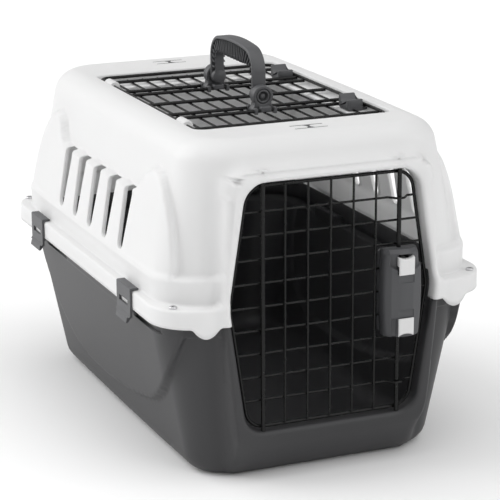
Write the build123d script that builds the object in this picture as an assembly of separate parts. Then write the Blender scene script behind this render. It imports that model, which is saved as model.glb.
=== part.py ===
from build123d import *
import math
import os

# Pet transport carrier. X is across the carrier, Y along it with the door at -Y, Z up from the floor.
# Places along Y are first counted from the middle of the shells; the whole carrier is moved at the
# end so that the middle of its outer box is at the origin.

# ---- driving sizes, mm ----
LENGTH = 567.0              # flange, front to rear
WIDTH = 400.0               # flange, side to side
ROOF_Z = 386.0              # top face of the roof
WALL = 3.0                  # moulded wall of both shells
SEAM_Z = 190.0              # lower edge of the upper shell's skirt
SEAM_GAP = 0.4              # daylight between the two shells at the seam
PART_GAP = 0.4              # clearance between pieces that only lie side by side
RUN_GAP = 0.08              # radial clearance of a turning or sliding fit

# ---- flange and plinth around both shells ----
FLANGE_DEPTH = 21.0         # height of the skirt
FLANGE_CORNER = 51.0
FLANGE_OVERHANG = 10.0      # skirt beyond the plinth at the sides
FLANGE_OVERHANG_END = 15.5  # skirt beyond the plinth at the ends
PLINTH_TOP_RISE = 29.0      # plinth above the flange top
PLINTH_DROP = 15.0          # plinth of the lower shell below the seam
RIM_HEIGHT = 16.0           # lower shell's rim, up inside the plinth of the upper shell

# ---- walls ----
UPPER_INSET = 10.5          # upper corner columns behind the plinth, at the sides
UPPER_INSET_END = 9.0       # upper corner columns behind the plinth, at the ends
LOWER_INSET = 7.0           # the same of the lower shell
LOWER_INSET_END = 3.0
COLUMN_CORNER = 48.0
SIDE_BOW = 4.0              # sideways bulge of the long walls at their middle
UPPER_LEAN = 0.19           # inward lean of the upper side walls, per mm of height
LOWER_LEAN = 0.185          # inward lean of the lower side walls, per mm of depth
LOWER_LEAN_END = 0.10       # inward lean of the lower end walls, per mm of depth
BASE_CORNER = 40.0
BASE_FILLET = 18.0
ROOF_FILLET = 24.0
UPPER_PANEL_PROUD = 9.5     # raised side panels beyond the corner columns
LOWER_PANEL_PROUD = 7.0

# ---- raised side panels ----
PANEL_FRONT_Y = -236.0
PANEL_REAR_Y = 226.0
PANEL_TOP_Z = 313.0
ARCH_TOP_Z = 346.0
ARCH_WIDTH = 58.0
LOWER_PANEL_Z = 48.0
LOWER_PANEL_CORNER = 34.0

# ---- side vents ----
VENT_COUNT = 5
VENT_PITCH = 53.0
VENT_HEIGHT = 70.0
VENT_TOP_WIDTH = 27.0
VENT_FOOT_WIDTH = 13.0

# ---- door ----
DOOR_PITCH_X = 27.4         # mesh of the door grille, across
DOOR_PITCH_Z = 26.9         # mesh of the door grille, upwards
DOOR_BARS = 9               # horizontal bars between the frame wires
DOOR_FOOT_MESH = 31.0       # lowest and highest rows are taller than the others
DOOR_HEAD_MESH = 29.0
DOOR_COLUMNS = 6            # meshes between the two rods
DOOR_FOOT_Z = 64.6          # middle of the bottom frame wire
DOOR_HALF_WIDTH = 120.0     # at the widest place, level with the seam
DOOR_END_HALF_WIDTH = 98.5  # at the top and bottom frame wires
DOOR_BEND_Z = 206.0
DOOR_CORNER = 22.0
DOOR_SETBACK = 8.5          # hinge rod axis behind the front of the surround
JAMB_GAP = 4.5              # frame wire axis to the jamb
JAMB_DEPTH = 24.0
MESH_WIRE = 2.6
FRAME_WIRE = 4.0
ROD = 5.0
SURROUND_BAND = 7.5         # width of the raised surround at the door's widest place
SURROUND_HEAD_BAND = 18.5   # and beside the door's top and bottom corners
SURROUND_FOOT_BAND = 14.0
SURROUND_HOOD = 9.0         # surround above the lintel, at its front edge
HOOD_DROP = 20.0            # top of the hood below the roof, where it meets the end wall
SILL_SLOPE_FOOT = 30.0      # how far the front below the sill falls back at the floor
SOCKET_WALL = 2.4
HINGE_ENGAGE = 7.0          # hinge rod beyond the jamb, top and bottom
LOCK_GAP = 0.6              # lock rods in front of the frame wire
TONGUE_HEIGHT = 52.0        # lower shell's jamb tongues above the seam
TONGUE_DEPTH = 20.0

# ---- latch on the door ----
LATCH_WIDTH = 45.0
LATCH_HEIGHT = 100.0
LATCH_Z = 204.0
LATCH_DEPTH = 25.0
LATCH_SHELL = 2.2
BUTTON_WIDTH = 19.0
BUTTON_HEIGHT = 25.0
BUTTON_TRAVEL = 9.0
BUTTON_PROUD = 1.0          # button face in front of the housing
BUTTON_DEPTH = 17.0
UPPER_BUTTON_DROP = 9.0     # top of the upper button below the top of the housing
LOWER_BUTTON_RISE = 2.5     # foot of the lower button above the foot of the housing
CARRIER_HALF = 6.0          # half height of the block that holds a rod behind its button
SPRING_COIL = 5.8
SPRING_WIRE = 0.9
SPRING_TURNS = 6

# ---- top door ----
TOP_DOOR_Y = -10.0
TOP_DOOR_LENGTH = 334.0     # frame wire axes
TOP_DOOR_WIDTH = 233.6
TOP_DOOR_CORNER = 14.0
TOP_WIRE = 4.0
CROSS_WIRE = 2.5
CROSS_PITCH = 20.0
CROSS_COUNT = 11
LONG_WIRE_OFFSETS = (0.0, 61.5, 83.5, 145.0)
RECESS_GAP = 4.2
RECESS_CORNER = 12.0
RECESS_DEPTH = 10.0
ROOF_HOLE_LEFT = 8.0        # ledge under the top door's left, right, rear and front
ROOF_HOLE_RIGHT = 25.0
ROOF_HOLE_REAR = 35.0
ROOF_HOLE_FRONT = 6.0
LUG_OFFSET = 122.0
LUG_WIDTH = 24.0
TOP_LATCH_OFFSET = 99.5
TOP_LATCH_LENGTH = 25.0
TOP_LATCH_WIDTH = 20.0
TOP_LATCH_TRAVEL = 6.0

# ---- carrying handle ----
HANDLE_HEIGHT = 56.0        # crest above the pivots
HANDLE_THICK = 17.0
HANDLE_BAND = 6.0
GRIP_DEPTH = 17.0
GRIP_WAVES = 4
PIVOT_RISE = 15.5           # pivots above the long wires
RING_OUTER = 12.5
RING_BORE = 8.6
RING_THICK = 12.0

# ---- side clips ----
CLIP_Y = 161.0
CLIP_WIDTH = 44.0
CLIP_THICK = 2.6
CLIP_HOOK = 7.5
CLIP_DROP = 33.0
CLIP_TONGUE = 9.0
CLIP_SLOT = (28.0, 6.0)

# ---- corner screws ----
SCREW_FROM_SIDE = 18.5      # screw axis to the flange's side
SCREW_FROM_END = 22.5       # screw axis to the flange's end
SCREW_SHANK = 4.0
SCREW_HEAD = 9.0
NUT_WIDTH = 7.0

# ---- sizes that follow ----
FLANGE_TOP = SEAM_Z + FLANGE_DEPTH
PLINTH_TOP = FLANGE_TOP + PLINTH_TOP_RISE
FRONT_Y = -LENGTH / 2
SCREW_X = WIDTH / 2 - SCREW_FROM_SIDE
SCREW_Y = LENGTH / 2 - SCREW_FROM_END
PLINTH_HX = WIDTH / 2 - FLANGE_OVERHANG
PLINTH_HY = LENGTH / 2 - FLANGE_OVERHANG_END
PLINTH_CORNER = FLANGE_CORNER + 2
UPPER_HX = PLINTH_HX - UPPER_INSET
UPPER_HY = PLINTH_HY - UPPER_INSET_END
LOWER_HX = PLINTH_HX - LOWER_INSET
LOWER_HY = PLINTH_HY - LOWER_INSET_END
DOOR_TOP_Z = DOOR_FOOT_Z + DOOR_FOOT_MESH + (DOOR_BARS - 1) * DOOR_PITCH_Z + DOOR_HEAD_MESH
ROD_X = DOOR_COLUMNS * DOOR_PITCH_X / 2
HINGE_Y = FRONT_Y + DOOR_SETBACK
FRAME_Y = HINGE_Y + ROD / 2 + FRAME_WIRE / 2 - 0.4
LOCK_Y = FRAME_Y - FRAME_WIRE / 2 - ROD / 2 - LOCK_GAP
BAR_Y = FRAME_Y
UPRIGHT_Y = BAR_Y - MESH_WIRE + 0.2
SILL_Z = DOOR_FOOT_Z - JAMB_GAP
LINTEL_Z = DOOR_TOP_Z + JAMB_GAP
LEDGE_Z = ROOF_Z - RECESS_DEPTH
TOP_FRAME_Z = ROOF_Z - TOP_WIRE / 2 - 1.6
LONG_WIRE_Z = TOP_FRAME_Z - 2.0
CROSS_Z = LONG_WIRE_Z - (TOP_WIRE + CROSS_WIRE) / 2 + 0.4
PIVOT_Z = LONG_WIRE_Z + PIVOT_RISE
BRACKET_OFFSET = (LONG_WIRE_OFFSETS[1] + LONG_WIRE_OFFSETS[2]) / 2
LATCH_BACK_Y = BAR_Y - MESH_WIRE / 2 - PART_GAP
LATCH_FRONT_Y = LATCH_BACK_Y - LATCH_DEPTH
LATCH_TOP = LATCH_Z + LATCH_HEIGHT / 2
LATCH_FOOT = LATCH_Z - LATCH_HEIGHT / 2
UPPER_BUTTON_Z = LATCH_TOP - UPPER_BUTTON_DROP - BUTTON_HEIGHT / 2
LOWER_BUTTON_Z = LATCH_FOOT + LOWER_BUTTON_RISE + BUTTON_HEIGHT / 2
BUTTON_FRONT_Y = LATCH_FRONT_Y - BUTTON_PROUD
BUTTON_BACK_Y = BUTTON_FRONT_Y + BUTTON_DEPTH
BOX_FRONT = BUTTON_FRONT_Y
BOX_REAR = LENGTH / 2
SHIFT_Y = -(BOX_FRONT + BOX_REAR) / 2

parts = {}


def section(hx, hy, corner, bow, z):
    """A rounded rectangle at height z whose long sides bulge outwards by bow."""
    with BuildSketch(Plane.XY.offset(z)) as sketch:
        with BuildLine():
            ThreePointArc((hx, -hy), (hx + bow, 0), (hx, hy))
            Line((hx, hy), (-hx, hy))
            ThreePointArc((-hx, hy), (-hx - bow, 0), (-hx, -hy))
            Line((-hx, -hy), (hx, -hy))
        make_face()
        fillet(sketch.vertices(), corner)
    return sketch.sketch


def slab(hx, hy, corner, z0, z1):
    """A straight block with rounded upright corners from z0 to z1."""
    face = Plane.XY.offset(z0) * RectangleRounded(2 * hx, 2 * hy, corner)
    return extrude(face, z1 - z0)


def upper_body(grow):
    """Upper shell's leaning body, grown outwards by grow."""
    top = ROOF_Z + min(grow, 0)
    foot = SEAM_Z - 1
    faces = []
    for z in (foot, PLINTH_TOP, top):
        lean = UPPER_LEAN * max(z - PLINTH_TOP, 0)
        hx = UPPER_HX + grow - lean
        faces.append(section(hx, UPPER_HY + grow, COLUMN_CORNER + grow, SIDE_BOW, z))
    body = loft(faces, ruled=True)
    rim = body.faces().sort_by(Axis.Z)[-1].edges()
    return fillet(rim, ROOF_FILLET + grow)


def lower_body(grow):
    """Lower shell's tapered tub, grown outwards by grow."""
    base = -min(grow, 0)
    faces = []
    for z, corner in ((base, BASE_CORNER), (SEAM_Z, COLUMN_CORNER)):
        drop = SEAM_Z - z
        hx = LOWER_HX + grow - LOWER_LEAN * drop
        hy = LOWER_HY + grow - LOWER_LEAN_END * drop
        faces.append(section(hx, hy, corner + grow, SIDE_BOW, z))
    body = loft(faces, ruled=True)
    floor = body.faces().sort_by(Axis.Z)[0].edges()
    return fillet(floor, BASE_FILLET + grow)


def side_region(outline):
    """A prism across the whole width from an outline of (y, z) points."""
    with BuildSketch(Plane.YZ.offset(-WIDTH)) as sketch:
        with BuildLine():
            Polyline(*outline, close=True)
        make_face()
    return extrude(sketch.sketch, 2 * WIDTH)


def arch_outline(y, inset):
    """A pointed arch of ARCH_WIDTH about y, standing on the panel."""
    half = ARCH_WIDTH / 2 - inset
    steps = (1.0, 0.92, 0.78, 0.58, 0.34, 0.0)
    rise = ARCH_TOP_Z - inset - PANEL_TOP_Z + 25
    left = [(y - half * s, PANEL_TOP_Z - 25 + rise * math.sqrt(1 - s ** 1.6)) for s in steps]
    right = [(y + half * s, z) for s, (_, z) in zip(steps, left)]
    return left + right[::-1][1:]


def upper_panel_region(inset):
    """Raised side panel of the upper shell, with an arch at each end."""
    front = PANEL_FRONT_Y + inset
    rear = PANEL_REAR_Y - inset
    low = SEAM_Z - 1
    field = side_region([(front, low), (rear, low), (rear, PANEL_TOP_Z - 60),
                         (rear - 22, PANEL_TOP_Z - inset), (front + 22, PANEL_TOP_Z - inset),
                         (front, PANEL_TOP_Z - 60)])
    arch_shift = ARCH_WIDTH / 2 + 26
    arches = [side_region(arch_outline(y, inset)) for y in
              (PANEL_FRONT_Y + arch_shift, PANEL_REAR_Y - arch_shift)]
    return field + arches[0] + arches[1]


def lower_panel_region(inset):
    """Raised side panel of the lower shell, round at its lower front corner."""
    front = PANEL_FRONT_Y - 4 + inset
    rear = PANEL_REAR_Y + 4 - inset
    low = LOWER_PANEL_Z + inset
    r = LOWER_PANEL_CORNER
    with BuildSketch(Plane.YZ.offset(-WIDTH)) as sketch:
        with BuildLine():
            Polyline((front, SEAM_Z), (front, low + r + 30))
            ThreePointArc((front, low + r + 30), (front + 14, low + r - 8), (front + r + 8, low + 16))
            ThreePointArc((front + r + 8, low + 16), (0, low), (rear - r - 8, low + 16))
            ThreePointArc((rear - r - 8, low + 16), (rear - 14, low + r - 8), (rear, low + r + 30))
            Polyline((rear, low + r + 30), (rear, SEAM_Z), (front, SEAM_Z))
        make_face()
    return extrude(sketch.sketch, 2 * WIDTH)


def door_shape(grow):
    """Outline of the door frame grown by grow, as a face in the XZ plane."""
    mid, end = DOOR_HALF_WIDTH + grow, DOOR_END_HALF_WIDTH + grow
    low, high = DOOR_FOOT_Z - grow, DOOR_TOP_Z + grow
    with BuildSketch(Plane.XZ) as sketch:
        Polygon((-end, low), (end, low), (mid, DOOR_BEND_Z), (end, high), (-end, high), (-mid, DOOR_BEND_Z),
                align=None)
        corners = [v for v in sketch.vertices() if abs(v.Z - DOOR_BEND_Z) > 1]
        fillet(corners, max(DOOR_CORNER + grow, 1))
        bends = [v for v in sketch.vertices() if abs(v.Z - DOOR_BEND_Z) <= 1]
        fillet(bends, 60)
    return sketch.sketch


def door_prism(grow, y0, y1):
    """The door outline grown by grow, from y0 back to y1."""
    return Pos(0, y1, 0) * extrude(door_shape(grow), y1 - y0)


def band(z0, z1):
    """Everything between two heights."""
    return Pos(0, 0, (z0 + z1) / 2) * Box(3 * WIDTH, 3 * LENGTH, z1 - z0)


def surround_side(grow, half):
    """The surround seen from the side: hood, upright front and the slope below the sill, 2 * half wide."""
    front = FRONT_Y - grow
    wall = -UPPER_HY - grow
    slope = FRONT_Y + SILL_SLOPE_FOOT - grow
    with BuildSketch(Plane.YZ.offset(-half)) as side:
        with BuildLine():
            Polyline((front, LINTEL_Z + SURROUND_HOOD + grow), (wall, ROOF_Z - HOOD_DROP + grow),
                     (wall + 30, ROOF_Z - HOOD_DROP + grow), (wall + 30, -grow), (slope + 4, -grow),
                     (slope - 2, 10), (front, SILL_Z - 6), close=True)
        make_face()
    return extrude(side.sketch, 2 * half)


def surround_front(grow):
    """Outline of the surround seen from the front, as (x, z) of its right half from the floor up."""
    foot = DOOR_END_HALF_WIDTH + JAMB_GAP + SURROUND_FOOT_BAND + grow
    middle = DOOR_HALF_WIDTH + JAMB_GAP + SURROUND_BAND + grow
    head = DOOR_END_HALF_WIDTH + JAMB_GAP + SURROUND_HEAD_BAND + grow
    top = ROOF_Z - HOOD_DROP + grow
    return [(foot - 14, -grow), (foot, SILL_Z), (middle, DOOR_BEND_Z), (head, LINTEL_Z - 8),
            (head - 6, LINTEL_Z + 8), (head - 20, top)]


def surround(grow):
    """Raised door surround with its hood and the sloping front below the sill."""
    right = surround_front(grow)
    half = max(x for x, _ in right)
    left = [(-x, z) for x, z in reversed(right)]
    with BuildSketch(Plane.XZ.offset(UPPER_HY)) as face:
        Polygon(*(right + left), align=None)
    return surround_side(grow, half) & extrude(face.sketch, LENGTH, both=True)


def vents():
    """Tapered vent slots through both long walls."""
    cutter = None
    for i in range(VENT_COUNT):
        y = (i - (VENT_COUNT - 1) / 2) * VENT_PITCH + TOP_DOOR_Y
        high, low = PANEL_TOP_Z - 2, PANEL_TOP_Z - 2 - VENT_HEIGHT
        with BuildSketch(Plane.YZ.offset(-WIDTH)) as sketch:
            Polygon((y - VENT_TOP_WIDTH / 2, high), (y + VENT_TOP_WIDTH / 2, high),
                    (y + VENT_FOOT_WIDTH / 2, low), (y - VENT_FOOT_WIDTH / 2, low), align=None)
            fillet(sketch.vertices(), 5)
        slot = extrude(sketch.sketch, 2 * WIDTH)
        cutter = slot if cutter is None else cutter + slot
    return cutter


def recess_rect(gap, corner):
    """Plan of the top door grown by gap."""
    return Pos(0, TOP_DOOR_Y, 0) * RectangleRounded(TOP_DOOR_WIDTH + 2 * gap, TOP_DOOR_LENGTH + 2 * gap, corner)


def roof_hole(z0, z1, grow):
    """The way in through the roof, from z0 to z1."""
    x0 = -TOP_DOOR_WIDTH / 2 + ROOF_HOLE_LEFT - grow
    x1 = TOP_DOOR_WIDTH / 2 - ROOF_HOLE_RIGHT + grow
    y0 = TOP_DOOR_Y - TOP_DOOR_LENGTH / 2 + ROOF_HOLE_FRONT - grow
    y1 = TOP_DOOR_Y + TOP_DOOR_LENGTH / 2 - ROOF_HOLE_REAR + grow
    face = Pos((x0 + x1) / 2, (y0 + y1) / 2, z0) * RectangleRounded(x1 - x0, y1 - y0, 12 + grow)
    return extrude(face, z1 - z0)


def hinge_lugs():
    """Two half-round lugs on the roof ledge that hold the top door's left frame wire."""
    lugs = None
    x = -TOP_DOOR_WIDTH / 2
    for side in (-1, 1):
        y = TOP_DOOR_Y + side * LUG_OFFSET
        with BuildSketch(Plane.XZ.offset(-(y + LUG_WIDTH / 2))) as sketch:
            with Locations((x + 1, TOP_FRAME_Z)):
                Circle(6.5)
            with Locations((x + 1, (LEDGE_Z + TOP_FRAME_Z) / 2 - 1)):
                Rectangle(11, TOP_FRAME_Z - LEDGE_Z + 2)
            with Locations((x, TOP_FRAME_Z)):
                Circle(TOP_WIRE / 2 + RUN_GAP, mode=Mode.SUBTRACT)
        lug = extrude(sketch.sketch, LUG_WIDTH)
        lugs = lug if lugs is None else lugs + lug
    return lugs


def sockets():
    """Sockets for the rods above and below the door: solid posts and their bores."""
    posts, bores = [], []
    reach = HINGE_ENGAGE + 3
    for x, y, gap in ((-ROD_X, HINGE_Y, RUN_GAP), (ROD_X, LOCK_Y, 0.6)):
        for z, way in ((LINTEL_Z - 1, 1), (SILL_Z + 1, -1)):
            middle = z + way * reach / 2
            posts.append(Pos(x, y, middle) * Cylinder(ROD / 2 + SOCKET_WALL, reach))
            bore_middle = z + way * (HINGE_ENGAGE + 1) / 2 - way
            bores.append(Pos(x, y, bore_middle) * Cylinder(ROD / 2 + gap, HINGE_ENGAGE + 3))
    return posts, bores


def screw_places():
    return [(sx * SCREW_X, sy * SCREW_Y) for sx in (-1, 1) for sy in (-1, 1)]


def screw_holes():
    """Clearance holes for the corner screws."""
    radius = SCREW_SHANK / 2 + PART_GAP
    return [Pos(x, y, FLANGE_TOP - 8) * Cylinder(radius, 30) for x, y in screw_places()]


def flange_tabs():
    """Rounded tabs that hang from the skirt's front and rear, and the slots above them."""
    tabs, slots = [], []
    for sx in (-1, 1):
        x = sx * (PLINTH_HX - 38)
        for sy in (-1, 1):
            y = sy * (LENGTH / 2 - WALL / 2)
            tab = Pos(x, y, SEAM_Z + 2) * Rot(90, 0, 0) * Cylinder(15, WALL)
            tabs.append(tab)
            slots.append(Pos(x, sy * (LENGTH / 2 - 8), FLANGE_TOP) * Box(18, 4, 20))
    return tabs, slots


def make_upper_shell():
    plinth = fillet(slab(PLINTH_HX, PLINTH_HY, PLINTH_CORNER, SEAM_Z, PLINTH_TOP)
                    .faces().sort_by(Axis.Z)[-1].edges(), 4)
    flange = fillet(slab(WIDTH / 2, LENGTH / 2, FLANGE_CORNER, SEAM_Z, FLANGE_TOP)
                    .faces().sort_by(Axis.Z)[-1].edges(), 3)
    keep = band(SEAM_Z, ROOF_Z)
    outer = (upper_body(0) + (upper_body(UPPER_PANEL_PROUD) & upper_panel_region(0)) + surround(0)) & keep
    outer = outer + plinth + flange
    inner = upper_body(-WALL) + (upper_body(UPPER_PANEL_PROUD - WALL) & upper_panel_region(WALL))
    inner = (inner + surround(-WALL)) & band(SEAM_Z - 5, ROOF_Z)
    inner = inner + slab(PLINTH_HX - WALL, PLINTH_HY - WALL, PLINTH_CORNER - WALL, SEAM_Z - 5, PLINTH_TOP - WALL)
    inner = inner + slab(WIDTH / 2 - WALL, LENGTH / 2 - WALL, FLANGE_CORNER - WALL, SEAM_Z - 5, FLANGE_TOP - WALL)
    shell = outer - inner
    recess = extrude(Pos(0, 0, LEDGE_Z) * recess_rect(RECESS_GAP, RECESS_CORNER), 30)
    tray = extrude(Pos(0, 0, LEDGE_Z - WALL) * recess_rect(RECESS_GAP + WALL, RECESS_CORNER + WALL),
                   ROOF_Z - LEDGE_Z + WALL - 0.5)
    posts, bores = sockets()
    jamb = door_prism(JAMB_GAP + WALL, FRONT_Y, FRONT_Y + JAMB_DEPTH) & band(SEAM_Z, ROOF_Z)
    shell = shell + (tray & upper_body(0)) + jamb
    for post in posts:
        if post.center().Z > SEAM_Z:
            shell = shell + post
    shell = shell - recess - roof_hole(LEDGE_Z - 20, ROOF_Z + 5, 0) + hinge_lugs()
    shell = shell - door_prism(JAMB_GAP, FRONT_Y - 40, FRONT_Y + 60) - vents()
    tabs, slots = flange_tabs()
    for tab in tabs:
        shell = shell + tab
    for cut in slots + screw_holes() + bores:
        shell = shell - cut
    return shell


def make_lower_shell():
    top = SEAM_Z - SEAM_GAP
    foot = SEAM_Z - PLINTH_DROP
    keep = band(0, top)
    outer = (lower_body(0) + (lower_body(LOWER_PANEL_PROUD) & lower_panel_region(0)) + surround(0)) & keep
    outer = outer + slab(PLINTH_HX - 2, PLINTH_HY - 2, PLINTH_CORNER - 2, foot, top)
    rim = slab(PLINTH_HX - WALL - PART_GAP, PLINTH_HY - WALL - PART_GAP, PLINTH_CORNER - WALL, top - 5,
               SEAM_Z + RIM_HEIGHT)
    lip_x = WIDTH / 2 - WALL - 0.7
    lip_y = LENGTH / 2 - WALL - 0.7
    lip = slab(lip_x, lip_y, FLANGE_CORNER - WALL - 0.7, SEAM_Z + RIM_HEIGHT - WALL, SEAM_Z + RIM_HEIGHT)
    outer = outer + rim + lip
    inner = lower_body(-WALL) + (lower_body(LOWER_PANEL_PROUD - WALL) & lower_panel_region(WALL))
    inner = (inner + surround(-WALL)) & band(WALL, top)
    mouth = 2 * WALL + PART_GAP
    inner = inner + slab(PLINTH_HX - mouth, PLINTH_HY - mouth, PLINTH_CORNER - mouth, foot + WALL, FLANGE_TOP)
    shell = outer - inner
    jamb = door_prism(JAMB_GAP + WALL, FRONT_Y, FRONT_Y + JAMB_DEPTH) & band(0, top)
    tongue_y = FRONT_Y + JAMB_DEPTH + PART_GAP
    tongue = door_prism(JAMB_GAP + WALL, tongue_y, tongue_y + TONGUE_DEPTH)
    tongue = tongue & band(SEAM_Z - 40, SEAM_Z + TONGUE_HEIGHT)
    tongue = tongue + (door_prism(JAMB_GAP + WALL, FRONT_Y + WALL, tongue_y + TONGUE_DEPTH) & band(SEAM_Z - 40, top))
    posts, bores = sockets()
    shell = shell + jamb + tongue
    for post in posts:
        if post.center().Z < SEAM_Z:
            shell = shell + post
    shell = shell - door_prism(JAMB_GAP, FRONT_Y - 40, FRONT_Y + 80)
    notch = door_prism(JAMB_GAP + SURROUND_HEAD_BAND + 2, FRONT_Y - 5, FRONT_Y + JAMB_DEPTH + PART_GAP / 2)
    shell = shell - (notch & band(top, ROOF_Z))
    for cut in screw_holes() + bores:
        shell = shell - cut
    return shell


def straight_wire(start, end, diameter):
    """A straight round wire."""
    a, b = Vector(*start), Vector(*end)
    plane = Plane(origin=a, z_dir=b - a)
    return extrude(plane * Circle(diameter / 2), (b - a).length)


def door_frame_wire():
    """Closed frame wire of the door, swept along the door outline."""
    face = Pos(0, FRAME_Y, 0) * door_shape(0)
    path = face.wires()[0]
    start = path @ 0
    profile = Plane(origin=start, z_dir=path % 0) * Circle(FRAME_WIRE / 2)
    return sweep(profile, path)


def door_half_width(z):
    """Half width of the door outline at height z."""
    end_z = DOOR_TOP_Z if z > DOOR_BEND_Z else DOOR_FOOT_Z
    share = (z - DOOR_BEND_Z) / (end_z - DOOR_BEND_Z)
    return DOOR_HALF_WIDTH + (DOOR_END_HALF_WIDTH - DOOR_HALF_WIDTH) * share


def bar_height(bar):
    """Height of a horizontal door wire; bar 1 is the lowest one."""
    return DOOR_FOOT_Z + DOOR_FOOT_MESH + (bar - 1) * DOOR_PITCH_Z


def guide_bar(z):
    """A horizontal wire that bends forward round the lock rod."""
    half = door_half_width(z) - 1
    out = LOCK_Y - ROD / 2 - MESH_WIRE / 2 - PART_GAP
    near, far = ROD_X - 12, ROD_X + 12
    points = [(-half, BAR_Y, z), (near, BAR_Y, z), (ROD_X - 4, out, z), (ROD_X + 4, out, z), (far, BAR_Y, z),
              (half, BAR_Y, z)]
    path = FilletPolyline(*points, radius=2.5)
    profile = Plane(origin=points[0], z_dir=(1, 0, 0)) * Circle(MESH_WIRE / 2)
    return sweep(profile, path)


def make_front_door_grille():
    grille = door_frame_wire()
    for bar in range(1, DOOR_BARS + 1):
        z = bar_height(bar)
        if bar in (1, DOOR_BARS):
            grille = grille + guide_bar(z)
        else:
            half = door_half_width(z) - 1
            grille = grille + straight_wire((-half, BAR_Y, z), (half, BAR_Y, z), MESH_WIRE)
    for column in range(1, DOOR_COLUMNS):
        x = -ROD_X + column * DOOR_PITCH_X
        grille = grille + straight_wire((x, UPRIGHT_Y, DOOR_FOOT_Z), (x, UPRIGHT_Y, DOOR_TOP_Z), MESH_WIRE)
    return grille


def make_hinge_rod():
    return straight_wire((-ROD_X, HINGE_Y, SILL_Z - HINGE_ENGAGE), (-ROD_X, HINGE_Y, LINTEL_Z + HINGE_ENGAGE), ROD)


def latch_outline(inset):
    """Plan of the latch housing, crowned at the front, shrunk by inset."""
    half = LATCH_WIDTH / 2 - inset
    back, front = LATCH_BACK_Y, LATCH_FRONT_Y + inset
    points = [(-half, back), (-half, front + 11), (-half + 6, front + 4), (-5, front), (8, front),
              (half - 4, front + 4), (half, front + 9), (half, back)]
    return [(ROD_X + x, y) for x, y in points]


def latch_block(inset, z0, z1):
    with BuildSketch(Plane.XY.offset(z0)) as sketch:
        Polygon(*latch_outline(inset), align=None)
    return extrude(sketch.sketch, z1 - z0)


def make_latch_housing():
    """Front shell of the door latch, hollow, with two windows for the buttons."""
    outer = latch_block(0, LATCH_FOOT, LATCH_TOP)
    inner = latch_block(LATCH_SHELL, LATCH_FOOT + LATCH_SHELL, LATCH_TOP - LATCH_SHELL)
    shell = outer - inner
    rib = Pos(ROD_X, LATCH_BACK_Y - LATCH_DEPTH / 2 + 2, LATCH_Z) * Box(LATCH_WIDTH - 3, LATCH_DEPTH - 6, 3)
    shell = shell + (rib & outer)
    width = BUTTON_WIDTH + 2 * PART_GAP
    for z, way in ((UPPER_BUTTON_Z, -1), (LOWER_BUTTON_Z, 1)):
        tall = BUTTON_HEIGHT + BUTTON_TRAVEL + 2 * PART_GAP
        shell = shell - Pos(ROD_X, LATCH_FRONT_Y + 2, z + way * BUTTON_TRAVEL / 2) * Box(width, 16, tall)
    for z in (LATCH_TOP, LATCH_FOOT):
        shell = shell - Pos(ROD_X, LOCK_Y, z) * Cylinder(ROD / 2 + PART_GAP, 12)
    return shell


def make_latch_back():
    """Plate behind the door wires, with pegs that meet the housing's side walls."""
    plate_front = BAR_Y + MESH_WIRE / 2 + PART_GAP
    plate = Pos(ROD_X, plate_front + 1.5, LATCH_Z) * Box(LATCH_WIDTH - 3, 3, LATCH_HEIGHT - 4)
    plate = fillet(plate.edges().filter_by(Axis.Y), 4)
    bar = 1 + round((LATCH_Z - bar_height(1)) / DOOR_PITCH_Z)
    for sx in (-1, 1):
        for sz in (-1, 1):
            z = (bar_height(bar) + bar_height(bar + sz)) / 2
            x = ROD_X + sx * (LATCH_WIDTH / 2 - 3.2)
            middle = (plate_front + LATCH_BACK_Y) / 2
            plate = plate + Pos(x, middle, z) * Rot(90, 0, 0) * Cylinder(2.4, plate_front - LATCH_BACK_Y)
    return plate


def make_button(z, way):
    """A slide button with the block behind it that carries the lock rod; way is its rod's direction."""
    front = BUTTON_FRONT_Y
    face = Pos(ROD_X, (front + BUTTON_BACK_Y) / 2, z) * Box(BUTTON_WIDTH, BUTTON_DEPTH, BUTTON_HEIGHT)
    face = fillet(face.edges().filter_by(Axis.Z).group_by(Axis.Y)[0], 3)
    finger = Pos(ROD_X, front - 6, z + way * BUTTON_HEIGHT / 2) * Rot(0, 90, 0) * Cylinder(8, BUTTON_WIDTH + 2)
    depth = LATCH_BACK_Y - PART_GAP - BUTTON_BACK_Y
    block = Pos(ROD_X, BUTTON_BACK_Y + depth / 2, z) * Box(BUTTON_WIDTH - 3, depth, 2 * CARRIER_HALF)
    button = face - finger + block
    bore = Pos(ROD_X, LOCK_Y, z + way * (CARRIER_HALF - 3)) * Cylinder(ROD / 2, 2 * CARRIER_HALF)
    return button - bore


def make_lock_rod(z, way):
    """A lock rod from its button to just short of its socket."""
    end = (LINTEL_Z if way > 0 else SILL_Z) - way * PART_GAP
    start = z + way * (CARRIER_HALF - 3) - way * CARRIER_HALF
    return straight_wire((ROD_X, LOCK_Y, min(start, end)), (ROD_X, LOCK_Y, max(start, end)), ROD)


def make_spring(z0, z1):
    """A compression spring between the middle rib and a button's carrier block."""
    length = z1 - z0 - SPRING_WIRE
    helix = Helix(length / SPRING_TURNS, length, SPRING_COIL / 2, center=(ROD_X, LOCK_Y, z0 + SPRING_WIRE / 2))
    profile = Plane(origin=helix @ 0, z_dir=helix % 0) * Circle(SPRING_WIRE / 2)
    return sweep(profile, helix, is_frenet=True)


def top_frame_wire():
    """Closed frame wire of the top door."""
    face = Pos(0, 0, TOP_FRAME_Z) * recess_rect(0, TOP_DOOR_CORNER)
    path = face.wires()[0]
    profile = Plane(origin=path @ 0, z_dir=path % 0) * Circle(TOP_WIRE / 2)
    return sweep(profile, path)


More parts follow.
